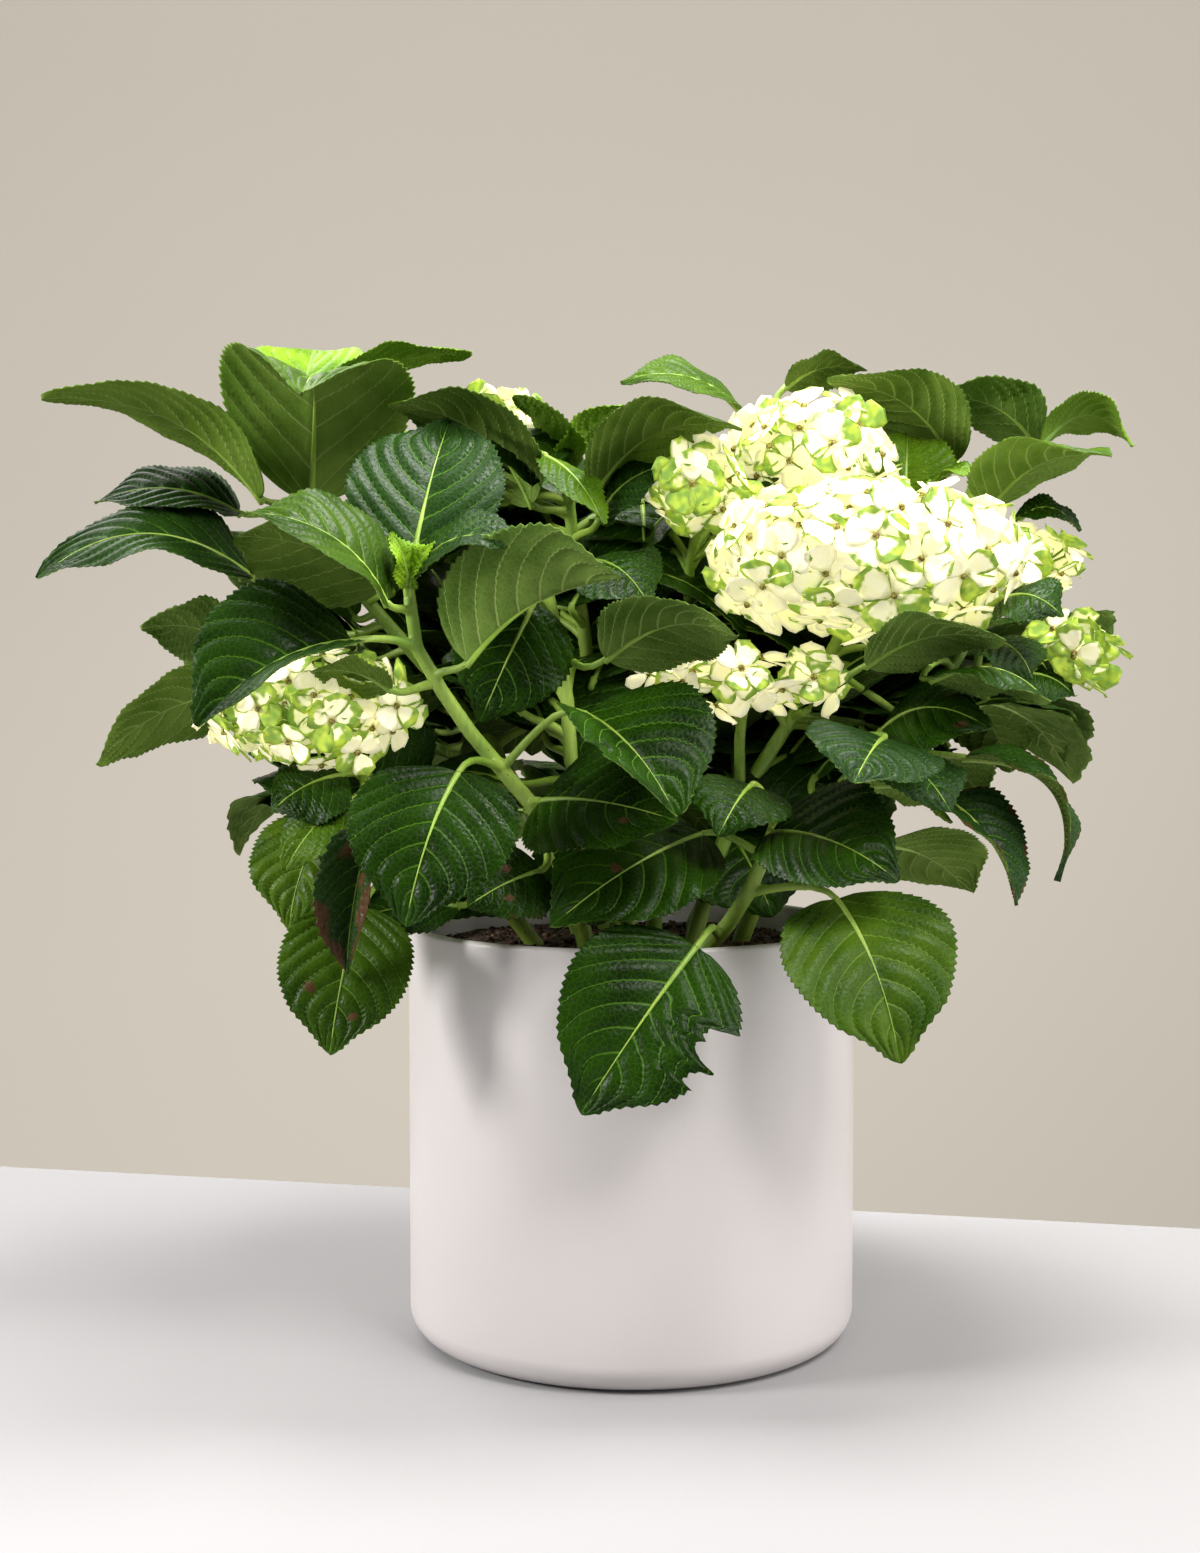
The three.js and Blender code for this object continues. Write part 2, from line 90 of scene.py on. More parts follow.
class Shape:
    # collects points, quads and triangles, with a material index, two UV maps and two attributes
    def __init__(self):
        self.points, self.faces, self.slots = [], [], []
        self.uv, self.uvMm, self.tone, self.mark = [], [], [], []
        self.count = 0

    def add(self, points, faces, slot=0, uv=None, uvMm=None, tone=(0, 0, 0), mark=0.0):
        # takes in a surface: its points, its faces by their own numbers, and what its points carry
        points = np.asarray(points, float).reshape(-1, 3)
        n = len(points)
        self.points.append(points)
        for face in faces:
            self.faces.append(np.asarray(face) + self.count)
            self.slots.append(np.full(len(face), slot))
        self.uv.append(np.zeros((n, 2)) if uv is None else np.asarray(uv, float).reshape(-1, 2))
        self.uvMm.append(np.zeros((n, 2)) if uvMm is None else np.asarray(uvMm, float).reshape(-1, 2))
        self.tone.append(np.broadcast_to(np.asarray(tone, float), (n, 3)))
        self.mark.append(np.broadcast_to(np.asarray(mark, float).reshape(-1), (n,)))
        self.count += n

    def build(self, name, materials):
        # writes all that was taken in as one mesh, in metres
        points = np.concatenate(self.points) * mm
        sizes = np.concatenate([np.full(len(f), f.shape[1]) for f in self.faces])
        corners = np.concatenate([f.reshape(-1) for f in self.faces])
        mesh = bpy.data.meshes.new(name)
        mesh.vertices.add(len(points))
        mesh.vertices.foreach_set("co", points.reshape(-1))
        mesh.loops.add(len(corners))
        mesh.loops.foreach_set("vertex_index", corners.astype(np.int32))
        mesh.polygons.add(len(sizes))
        starts = np.concatenate([[0], np.cumsum(sizes)[:-1]])
        mesh.polygons.foreach_set("loop_start", starts.astype(np.int32))
        mesh.polygons.foreach_set("loop_total", sizes.astype(np.int32))
        mesh.polygons.foreach_set("material_index", np.concatenate(self.slots).astype(np.int32))
        mesh.polygons.foreach_set("use_smooth", np.ones(len(sizes), dtype=bool))
        for layer, values in (("patternUv", self.uv), ("patternMm", self.uvMm)):
            data = mesh.uv_layers.new(name=layer).data
            data.foreach_set("uv", np.concatenate(values)[corners].astype(np.float32).reshape(-1))
        tone = mesh.attributes.new("tone", "FLOAT_COLOR", "POINT")
        colours = np.concatenate([np.concatenate(self.tone), np.ones((self.count, 1))], axis=1)
        tone.data.foreach_set("color", colours.astype(np.float32).reshape(-1))
        mark = mesh.attributes.new("mark", "FLOAT", "POINT")
        mark.data.foreach_set("value", np.concatenate(self.mark).astype(np.float32))
        mesh.update()
        mesh.validate()
        piece = bpy.data.objects.new(name, mesh)
        bpy.context.scene.collection.objects.link(piece)
        for material in materials:
            mesh.materials.append(material)
        return piece


def pathFrames(points):
    # tangents along a path, and a normal carried along it with as little turning as possible
    tangents = unit(np.gradient(points, axis=0))
    normals = np.zeros_like(points)
    start = np.cross(tangents[0], [0.0, 0.0, 1.0])
    if np.linalg.norm(start) < 0.05:
        start = np.cross(tangents[0], [0.0, 1.0, 0.0])
    normals[0] = unit(start)
    for k in range(1, len(points)):
        carried = normals[k - 1] - tangents[k] * np.dot(normals[k - 1], tangents[k])
        normals[k] = unit(carried)
    return tangents, normals, np.cross(tangents, normals)


def addTube(shape, points, radii, sides=8, slot=0, tone=(0, 0, 0)):
    # a ring of the given radius round each path point, closed by a point at each end
    tangents, normals, sides3 = pathFrames(points)
    angle = np.arange(sides) / sides * 2 * math.pi
    ring = (np.cos(angle)[None, :, None] * normals[:, None, :]
            + np.sin(angle)[None, :, None] * sides3[:, None, :])
    body = points[:, None, :] + ring * np.asarray(radii)[:, None, None]
    n = len(points)
    length = np.concatenate([[0], np.cumsum(np.linalg.norm(np.diff(points, axis=0), axis=1))])
    uv = np.stack([np.repeat(length / length[-1], sides), np.tile(np.arange(sides) / sides, n)], -1)
    uvMm = np.stack([np.repeat(length, sides), np.tile(angle * 3, n)], -1) / 100
    ends = np.stack([points[0] - tangents[0] * radii[0] * 0.4, points[-1] + tangents[-1] * radii[-1] * 0.4])
    every = np.concatenate([body.reshape(-1, 3), ends])
    k = np.arange(sides)
    first = np.stack([np.full(sides, n * sides), (k + 1) % sides, k], -1)
    last = np.stack([np.full(sides, n * sides + 1), (n - 1) * sides + k,
                     (n - 1) * sides + (k + 1) % sides], -1)
    pad = np.zeros((2, 2))
    shape.add(every, [gridQuads(n, sides, wrap=True), first, last], slot,
              np.concatenate([uv, pad]), np.concatenate([uvMm, pad]), tone)


def bezier(a, b, c, d, steps):
    # a cubic curve: (1-t)^3 a + 3 (1-t)^2 t b + 3 (1-t) t^2 c + t^3 d
    t = np.linspace(0, 1, steps)[:, None]
    return (1 - t) ** 3 * a + 3 * (1 - t) ** 2 * t * b + 3 * (1 - t) * t ** 2 * c + t ** 3 * d


def linear(red, green, blue):
    # a colour as seen on a screen, 0 to 255, as the linear one that the shader takes
    c = np.array([red, green, blue]) / 255
    c = np.where(c <= 0.04045, c / 12.92, ((c + 0.055) / 1.055) ** 2.4)
    return (float(c[0]), float(c[1]), float(c[2]), 1.0)


def addNode(tree, kind, inputs=None, **settings):
    # a node with its settings, and each input either linked from a socket or given a value
    node = tree.nodes.new(kind)
    for key, value in settings.items():
        setattr(node, key, value)
    for key, value in (inputs or {}).items():
        if isinstance(value, bpy.types.NodeSocket):
            tree.links.new(value, node.inputs[key])
        else:
            node.inputs[key].default_value = value
    return node


def maths(tree, operation, a, b=0.0):
    # one sum in a node: a, the operation, b
    return addNode(tree, "ShaderNodeMath", {0: a, 1: b}, operation=operation).outputs[0]


def times(tree, a, b):
    return maths(tree, "MULTIPLY", a, b)      # a b


def plus(tree, a, b):
    return maths(tree, "ADD", a, b)           # a + b


def minus(tree, a, b):
    return maths(tree, "SUBTRACT", a, b)      # a - b


def between(tree, value, low, high, toLow=0.0, toHigh=1.0):
    # an S curve from toLow to toHigh as value goes from low to high
    node = addNode(tree, "ShaderNodeMapRange", {"Value": value, "From Min": low, "From Max": high,
                                                "To Min": toLow, "To Max": toHigh},
                   interpolation_type="SMOOTHSTEP")
    return node.outputs["Result"]


def blend(tree, factor, a, b, mode="MIX"):
    # (1 - factor) a + factor b, or a and b mixed in another mode
    node = addNode(tree, "ShaderNodeMix", {"Factor": factor, 6: a, 7: b}, data_type="RGBA", blend_type=mode)
    return node.outputs[2]


def noise(tree, vector, scale, detail=3.0, roughness=0.55, distortion=0.0):
    # a soft random pattern, 0 to 1
    node = addNode(tree, "ShaderNodeTexNoise", {"Vector": vector, "Scale": scale, "Detail": detail,
                                                "Roughness": roughness, "Distortion": distortion})
    return node.outputs["Fac"]


def newGroup(name, inputs, outputs):
    # a shader node group with named sockets; inputs and outputs are (name, socket type, default)
    tree = bpy.data.node_groups.new(name, "ShaderNodeTree")
    for title, kind, value in inputs:
        socket = tree.interface.new_socket(name=title, in_out="INPUT", socket_type=kind)
        if value is not None:
            socket.default_value = value
    for title, kind in outputs:
        tree.interface.new_socket(name=title, in_out="OUTPUT", socket_type=kind)
    return tree, tree.nodes.new("NodeGroupInput"), tree.nodes.new("NodeGroupOutput")


def newMaterial(name):
    # an empty material, its node tree and its shader
    material = bpy.data.materials.new(name)
    material.use_nodes = True
    tree = material.node_tree
    return material, tree, tree.nodes["Principled BSDF"]


def place(tree, group, inputs):
    # a node group in a material, with its own values
    return addNode(tree, "ShaderNodeGroup", inputs, node_tree=group)


def shifted(tree, vector, chance, reach):
    # vector + (reach chance, chance, 0), so that no two leaves or sepals show the same part of a pattern
    away = addNode(tree, "ShaderNodeCombineXYZ", {0: times(tree, chance, reach), 1: chance}).outputs[0]
    return addNode(tree, "ShaderNodeVectorMath", {0: vector, 1: away}, operation="ADD").outputs[0]


bladeSize = {
    "baseRoundness": 0.55, "tipSharpness": 0.85, "thickness": 1.3, "sheet": 0.5,
    "teeth": 27, "rowsPerTooth": 4, "columns": 34, "toothLength": 1.7, "pillow": 1.45, "ripple": 2.4,
    "stations": (0.02, 0.15, 0.3, 0.45, 0.62, 0.8, 0.98), "slices": (-1, -0.55, 0, 0.55, 1), "twistSteps": 3,
    "veinPairs": 7.2, "veinGroove": 0.8, "ribGroove": 0.9, "ladder": 0.07, "bow": 1.4, "pinch": 0.28,
    "ribBase": 1.75, "ribTip": 0.35,
}


def makeVeinGroup():
    # veins curve from the midrib to the margin: q = pairs * (u - 0.2 s - 0.2 s^2), a vein at whole q
    tree, start, end = newGroup(
        "leafVeins",
        [("Uv", "NodeSocketVector", None), ("Mm", "NodeSocketVector", None),
         ("Pairs", "NodeSocketFloat", 7.2)],
        [("Vein", "NodeSocketFloat"), ("Web", "NodeSocketFloat"), ("Pillow", "NodeSocketFloat")])
    uv = addNode(tree, "ShaderNodeSeparateXYZ", {0: start.outputs["Uv"]})
    size = addNode(tree, "ShaderNodeSeparateXYZ", {0: start.outputs["Mm"]})
    side = minus(tree, times(tree, uv.outputs[1], 2.0), 1.0)
    s = maths(tree, "ABSOLUTE", side)
    bend = plus(tree, times(tree, s, 0.2), times(tree, times(tree, s, s), 0.2))
    q = times(tree, minus(tree, uv.outputs[0], bend), start.outputs["Pairs"])
    q = plus(tree, q, times(tree, maths(tree, "GREATER_THAN", side, 0.0), 0.25))
    wobble = minus(tree, noise(tree, start.outputs["Mm"], 9.0, 1.0), 0.5)
    q = plus(tree, q, times(tree, wobble, 0.1))
    part = maths(tree, "FRACT", plus(tree, q, 20.0))
    near = times(tree, maths(tree, "ABSOLUTE", minus(tree, part, 0.5)), 2.0)
    width = minus(tree, 0.17, times(tree, s, 0.1))
    second = between(tree, near, minus(tree, 1.0, width), 0.995)
    narrow = minus(tree, 1.0, times(tree, uv.outputs[0], 0.75))
    midrib = between(tree, maths(tree, "ABSOLUTE", size.outputs[1]), times(tree, narrow, 0.011),
                     times(tree, narrow, 0.004))
    vein = maths(tree, "MAXIMUM", second, midrib)
    # the fine net between the veins, cells about 3 mm across
    shake = addNode(tree, "ShaderNodeTexNoise", {"Vector": start.outputs["Mm"],
                                                 "Scale": 30.0, "Detail": 1.0})
    small = addNode(tree, "ShaderNodeVectorMath", {0: shake.outputs["Color"], 1: (0.018, 0.018, 0.0)},
                    operation="MULTIPLY")
    moved = addNode(tree, "ShaderNodeVectorMath", {0: start.outputs["Mm"], 1: small.outputs[0]},
                    operation="ADD")
    cells = addNode(tree, "ShaderNodeTexVoronoi", {"Vector": moved.outputs[0], "Scale": 34.0},
                    feature="DISTANCE_TO_EDGE", voronoi_dimensions="2D")
    web = between(tree, cells.outputs["Distance"], 0.12, 0.0)
    pillow = between(tree, cells.outputs["Distance"], 0.0, 0.45)
    for name, socket in (("Vein", vein), ("Web", web), ("Pillow", pillow)):
        tree.links.new(socket, end.inputs[name])
    return tree


veinGroup = makeVeinGroup()


def makeSpeckGroup():
    # small dark specks: a speck where the distance to a cell's centre is under Size
    tree, start, end = newGroup(
        "brownSpecks",
        [("Vector", "NodeSocketVector", None), ("Scale", "NodeSocketFloat", 300.0),
         ("Size", "NodeSocketFloat", 0.12), ("Share", "NodeSocketFloat", 0.3)],
        [("Speck", "NodeSocketFloat")])
    cells = addNode(tree, "ShaderNodeTexVoronoi", {"Vector": start.outputs["Vector"],
                                                   "Scale": start.outputs["Scale"]})
    shade = addNode(tree, "ShaderNodeSeparateXYZ", {0: cells.outputs["Color"]})
    some = maths(tree, "LESS_THAN", shade.outputs[0], start.outputs["Share"])
    speck = between(tree, cells.outputs["Distance"], start.outputs["Size"],
                    times(tree, start.outputs["Size"], 0.4))
    tree.links.new(times(tree, speck, some), end.inputs["Speck"])
    return tree


speckGroup = makeSpeckGroup()


leafColours = {
    "matureDark": linear(9, 29, 1), "matureLight": linear(29, 59, 3),
    "youngDark": linear(78, 122, 14), "youngLight": linear(132, 172, 34),
    "paintedSheenGrey": linear(33, 56, 29), "veinMature": linear(84, 128, 34), "veinYoung": linear(168, 198, 78),
    "underDark": linear(70, 98, 34), "underLight": linear(104, 130, 58), "underVein": linear(148, 168, 92),
    "spot": linear(70, 36, 14), "dead": linear(84, 70, 46),
}


def leafMaterial(name, under):
    # upper side: deep green with lighter veins, soft gloss, and a painted grey sheen on some leaves;
    # underside: paler, matte, veins paler still
    material, tree, shader = newMaterial(name)
    uv = addNode(tree, "ShaderNodeUVMap", uv_map="patternUv").outputs[0]
    size = addNode(tree, "ShaderNodeUVMap", uv_map="patternMm").outputs[0]
    tone = addNode(tree, "ShaderNodeAttribute", attribute_name="tone")
    mark = addNode(tree, "ShaderNodeAttribute", attribute_name="mark").outputs["Fac"]
    channel = addNode(tree, "ShaderNodeSeparateXYZ", {0: tone.outputs["Vector"]})
    youth, paintedSheen, chance = channel.outputs[0], channel.outputs[1], channel.outputs[2]
    veins = place(tree, veinGroup, {"Uv": uv, "Mm": size, "Pairs": bladeSize["veinPairs"]})
    offset = shifted(tree, size, chance, 7.0)
    cloud = between(tree, noise(tree, offset, 3.0, 3.0), 0.3, 0.7)
    fine = noise(tree, offset, 40.0, 3.0)
    c = leafColours
    if under:
        base = blend(tree, cloud, c["underDark"], c["underLight"])
        base = blend(tree, times(tree, youth, 0.5), base, c["youngLight"])
        veinColour = c["underVein"]
        veinShare = 0.75
    else:
        mature = blend(tree, cloud, c["matureDark"], c["matureLight"])
        young = blend(tree, cloud, c["youngDark"], c["youngLight"])
        base = blend(tree, youth, mature, young)
        # painted sheen: a grey green mixed in by each leaf's sheen share stands in for light glancing off
        # the leaf
        base = blend(tree, times(tree, paintedSheen, 0.6), base, c["paintedSheenGrey"])
        veinColour = blend(tree, youth, c["veinMature"], c["veinYoung"])
        veinShare = 0.62
    base = blend(tree, times(tree, veins.outputs["Web"], 0.13), base, veinColour)
    base = blend(tree, times(tree, veins.outputs["Vein"], veinShare), base, veinColour)
    shade = plus(tree, 0.82, times(tree, chance, 0.36))
    shades = addNode(tree, "ShaderNodeCombineXYZ", {0: shade, 1: shade, 2: shade}).outputs[0]
    base = blend(tree, 1.0, base, shades, "MULTIPLY")
    specks = place(tree, speckGroup, {"Vector": offset, "Scale": 9.0, "Size": 0.06, "Share": 0.22})
    base = blend(tree, times(tree, specks.outputs[0], 0.6), base, c["spot"])
    worn = between(tree, plus(tree, mark, times(tree, fine, 0.25)), 0.35, 0.75)
    base = blend(tree, worn, base, blend(tree, fine, c["spot"], c["dead"]))
    tree.links.new(base, shader.inputs["Base Color"])
    rough = between(tree, fine, 0.3, 0.7, 0.3 if not under else 0.6, 0.42 if not under else 0.8)
    tree.links.new(rough, shader.inputs["Roughness"])
    height = times(tree, veins.outputs["Pillow"], 0.22 if not under else -0.2)
    height = maths(tree, "ADD" if under else "SUBTRACT", height,
                   times(tree, veins.outputs["Vein"], 0.9))
    height = plus(tree, height, times(tree, noise(tree, offset, 26.0, 2.0), 0.1))
    bump = addNode(tree, "ShaderNodeBump", {"Height": height, "Strength": 0.5, "Distance": 0.0008})
    tree.links.new(bump.outputs[0], shader.inputs["Normal"])
    shader.inputs["Specular IOR Level"].default_value = 0.1 if not under else 0.05
    return material


stalkColours = {
    "stalk": (linear(124, 160, 50), linear(160, 188, 78), linear(98, 130, 40)),
    "cane": (linear(120, 158, 52), linear(156, 184, 76), linear(94, 120, 42)),
    "speck": linear(74, 48, 26),
}


def stalkMaterial(name, colours):
    # smooth green stems: streaks along the stem, small brown specks
    material, tree, shader = newMaterial(name)
    spot = addNode(tree, "ShaderNodeTexCoord").outputs["Object"]
    cloud = between(tree, noise(tree, spot, 28.0, 3.0), 0.3, 0.7)
    drawn = addNode(tree, "ShaderNodeMapping", {"Vector": spot, "Scale": (1.0, 1.0, 0.12)}).outputs[0]
    streak = noise(tree, drawn, 620.0, 2.0)
    base = blend(tree, cloud, colours[0], colours[1])
    base = blend(tree, between(tree, streak, 0.45, 0.75, 0.0, 0.35), base, colours[2])
    specks = place(tree, speckGroup, {"Vector": spot, "Scale": 330.0, "Size": 0.2, "Share": 0.16})
    base = blend(tree, times(tree, specks.outputs[0], 0.75), base, stalkColours["speck"])
    tree.links.new(base, shader.inputs["Base Color"])
    tree.links.new(between(tree, streak, 0.2, 0.8, 0.34, 0.55), shader.inputs["Roughness"])
    bump = addNode(tree, "ShaderNodeBump", {"Height": plus(tree, streak, specks.outputs[0]),
                                            "Strength": 0.35, "Distance": 0.0004})
    tree.links.new(bump.outputs[0], shader.inputs["Normal"])
    return material


floretSize = {
    "sheet": 0.35, "rows": 6, "columns": 4, "eye": 1.5, "pedicel": 0.65, "paintedGlow": 0.39,
    "fourShare": 0.85, "pairLift": 0.45, "claw": 0.6, "innerLayer": 0.8,
    "sink": 0.42, "least": 0.45, "tilt": 0.26, "innerTilt": 0.1, "depth": (-4.0, 2.5), "sizes": (0.84, 1.08),
}


petalColours = {
    "cream": linear(255, 252, 222), "creamDeep": linear(250, 242, 184), "vein": linear(222, 214, 130),
    "limePale": linear(164, 190, 22), "limeDeep": linear(100, 144, 8), "claw": linear(206, 208, 120),
    "brown": linear(150, 92, 46), "eyeBrown": linear(96, 62, 30), "eyeOlive": linear(170, 168, 76),
}


def petalMaterial():
    # cream sepals: fine veins fanning from the claw, lime green spreading in from the rim, and a painted
    # glow of their own colour that brightens them beyond the lamps' light
    material, tree, shader = newMaterial("petalCream")
    uv = addNode(tree, "ShaderNodeUVMap", uv_map="patternUv").outputs[0]
    size = addNode(tree, "ShaderNodeUVMap", uv_map="patternMm").outputs[0]
    tone = addNode(tree, "ShaderNodeAttribute", attribute_name="tone")
    channel = addNode(tree, "ShaderNodeSeparateXYZ", {0: tone.outputs["Vector"]})
    green, chance, brown = channel.outputs[0], channel.outputs[1], channel.outputs[2]
    where = addNode(tree, "ShaderNodeSeparateXYZ", {0: uv})
    outward = where.outputs[0]
    across = minus(tree, times(tree, where.outputs[1], 2.0), 1.0)
    side = maths(tree, "ABSOLUTE", across)
    spread = addNode(tree, "ShaderNodeCombineXYZ", {0: times(tree, outward, 0.6),
                                                    1: times(tree, where.outputs[1], 9.0),
                                                    2: times(tree, chance, 31.0)}).outputs[0]
    vein = between(tree, noise(tree, spread, 2.6, 2.0), 0.56, 0.66)
    patch = noise(tree, shifted(tree, size, chance, 11.0), 3.2, 1.0)
    rim = maths(tree, "MAXIMUM", between(tree, outward, 0.45, 1.0), between(tree, side, 0.55, 1.0, 0.0, 0.8))
    drift = plus(tree, times(tree, patch, 0.75), minus(tree, green, 0.92))
    amount = plus(tree, times(tree, rim, 0.54), drift)
    lime = between(tree, amount, 0.2, 0.36)
    cream = blend(tree, patch, petalColours["cream"], petalColours["creamDeep"])
    base = blend(tree, times(tree, vein, 0.22), cream, petalColours["vein"])
    limeColour = blend(tree, between(tree, patch, 0.35, 0.65),
                       petalColours["limePale"], petalColours["limeDeep"])
    base = blend(tree, times(tree, lime, 0.92), base, limeColour)
    base = blend(tree, between(tree, outward, 0.22, 0.0, 0.0, 0.6), base, petalColours["claw"])
    streaks = times(tree, between(tree, noise(tree, spread, 4.5, 2.0), 0.6, 0.7),
                    between(tree, outward, 0.15, 0.6))
    base = blend(tree, times(tree, brown, streaks), base, petalColours["brown"])
    tree.links.new(base, shader.inputs["Base Color"])
    tree.links.new(between(tree, patch, 0.2, 0.8, 0.5, 0.7), shader.inputs["Roughness"])
    bump = addNode(tree, "ShaderNodeBump", {"Height": minus(tree, patch, vein),
                                            "Strength": 0.3, "Distance": 0.0004})
    tree.links.new(bump.outputs[0], shader.inputs["Normal"])
    # painted light: the sepals glow in their own colour, brighter than the lamps alone light them
    tree.links.new(base, shader.inputs["Emission Color"])
    shader.inputs["Emission Strength"].default_value = floretSize["paintedGlow"]
    shader.inputs["Specular IOR Level"].default_value = 0.3
    return material


def eyeMaterial():
    # the small fertile flower in the middle of a floret: olive and brown in fine patches
    material, tree, shader = newMaterial("floretEye")
    spot = addNode(tree, "ShaderNodeTexCoord").outputs["Object"]
    patch = noise(tree, spot, 900.0, 2.0)
    base = blend(tree, between(tree, patch, 0.4, 0.6), petalColours["eyeBrown"], petalColours["eyeOlive"])
    tree.links.new(base, shader.inputs["Base Color"])
    tree.links.new(between(tree, patch, 0.3, 0.7, 0.5, 0.7), shader.inputs["Roughness"])
    return material


soilColours = {
    "dark": linear(38, 26, 19), "crumb": linear(92, 64, 46), "damp": linear(58, 40, 28),
    "fibre": linear(142, 112, 82),
}


def soilMaterial():
    # dark brown crumbs with paler fibre and a few near-black ones
    material, tree, shader = newMaterial("pottingSoil")
    spot = addNode(tree, "ShaderNodeTexCoord").outputs["Object"]
    crumb = addNode(tree, "ShaderNodeTexVoronoi", {"Vector": spot, "Scale": 420.0})
    cloud = noise(tree, spot, 60.0, 4.0)
    shade = addNode(tree, "ShaderNodeSeparateXYZ", {0: crumb.outputs["Color"]})
    base = blend(tree, shade.outputs[0], soilColours["dark"], soilColours["crumb"])
    base = blend(tree, between(tree, cloud, 0.4, 0.65), base, soilColours["damp"])
    base = blend(tree, maths(tree, "GREATER_THAN", shade.outputs[1], 0.93), base, soilColours["fibre"])
    tree.links.new(base, shader.inputs["Base Color"])
    tree.links.new(between(tree, cloud, 0.2, 0.8, 0.82, 0.98), shader.inputs["Roughness"])
    height = minus(tree, cloud, crumb.outputs["Distance"])
    bump = addNode(tree, "ShaderNodeBump", {"Height": height, "Strength": 0.8, "Distance": 0.0015})
    tree.links.new(bump.outputs[0], shader.inputs["Normal"])
    return material


glazeColours = {"white": linear(206, 201, 200), "cloud": linear(202, 197, 196), "dust": linear(120, 100, 84)}


def glazeMaterial():
    # white glaze, softly glossy: faint grey clouds, a little more gloss in places, dust specks near the rim
    material, tree, shader = newMaterial("whiteGlaze")
    spot = addNode(tree, "ShaderNodeTexCoord").outputs["Object"]
    cloud = noise(tree, spot, 7.0, 3.0)
    ripple = noise(tree, spot, 6.0, 2.0)
    base = blend(tree, between(tree, cloud, 0.3, 0.7), glazeColours["white"], glazeColours["cloud"])
    specks = place(tree, speckGroup, {"Vector": spot, "Scale": 190.0, "Size": 0.07, "Share": 0.05})
    high = addNode(tree, "ShaderNodeSeparateXYZ", {0: spot})
    nearRim = between(tree, high.outputs[2], 0.19, 0.222)
    share = plus(tree, 0.1, times(tree, nearRim, 0.5))
    dust = times(tree, specks.outputs[0], share)
    base = blend(tree, dust, base, glazeColours["dust"])
    tree.links.new(base, shader.inputs["Base Color"])
    tree.links.new(between(tree, ripple, 0.3, 0.7, 0.31, 0.34), shader.inputs["Roughness"])
    return material


upperLeaf = leafMaterial("leafUpper", False)
lowerLeaf = leafMaterial("leafUnder", True)
stalkGreen = stalkMaterial("stalkGreen", stalkColours["stalk"])
caneGreen = stalkMaterial("caneGreen", stalkColours["cane"])
petalCream = petalMaterial()
floretEye = eyeMaterial()
pottingSoil = soilMaterial()
whiteGlaze = glazeMaterial()
print("materials made")


def outline(u):
    # half width as a share of the widest: (u/w)^a * ((1-u)/(1-w))^b, widest at w = a / (a + b)
    a, b = bladeSize["baseRoundness"], bladeSize["tipSharpness"]
    w = a / (a + b)
    u = np.clip(u, 0, 1)
    return (u / w) ** a * ((1 - u) / (1 - w)) ** b


def bladePoints(blade, u, v, halfWidth, height):
    # the midrib is a chord bowed by 4 arch u (1-u) along up; a slice turns about it by the twist,
    # and each half rises from it by the fold; height lifts a point off the surface
    run = np.array(blade["run"], float)
    along = unit(run)
    up = np.array(blade["face"], float)
    up = unit(up - along * np.dot(up, along))
    across = np.cross(along, up)
    u, v, halfWidth, height = np.broadcast_arrays(u, v, halfWidth, height)
    slope = 4 * blade["arch"] * (1 - 2 * u)
    middle = u[..., None] * run + (4 * blade["arch"] * u * (1 - u))[..., None] * up
    normal = unit(np.linalg.norm(run) * up - slope[..., None] * along)
    turn = np.radians(blade["twist"] * (u - 0.5))[..., None]
    side = across * np.cos(turn) + normal * np.sin(turn)
    lift = normal * np.cos(turn) - across * np.sin(turn)
    fold = math.radians(blade["fold"])
    return (middle + (v * halfWidth * math.cos(fold))[..., None] * side
            + (np.abs(v) * halfWidth * math.sin(fold) + height)[..., None] * lift)


def coarseCentre(blade):
    # the middle of the box round the plain blade that the frame holds, with the blade's base at 0
    u = np.array(bladeSize["stations"])
    if blade["twist"]:
        steps = bladeSize["twistSteps"]
        u = np.interp(np.arange((len(u) - 1) * steps + 1) / steps, np.arange(len(u)), u)
    u = u[:, None]
    v = np.array(bladeSize["slices"])[None, :]
    halfWidth = blade["width"] / 2 * outline(u)
    lens = bladeSize["thickness"] / 2 * (1 - v * v)
    both = np.concatenate([bladePoints(blade, u, v, halfWidth, h).reshape(-1, 3) for h in (lens, -lens)])
    return (both.min(0) + both.max(0)) / 2


def surfaceNormals(points):
    # the cross product of the steps along v and along u, made one long
    du = np.gradient(points, axis=0)
    dv = np.gradient(points, axis=1)
    return unit(np.cross(dv, du))


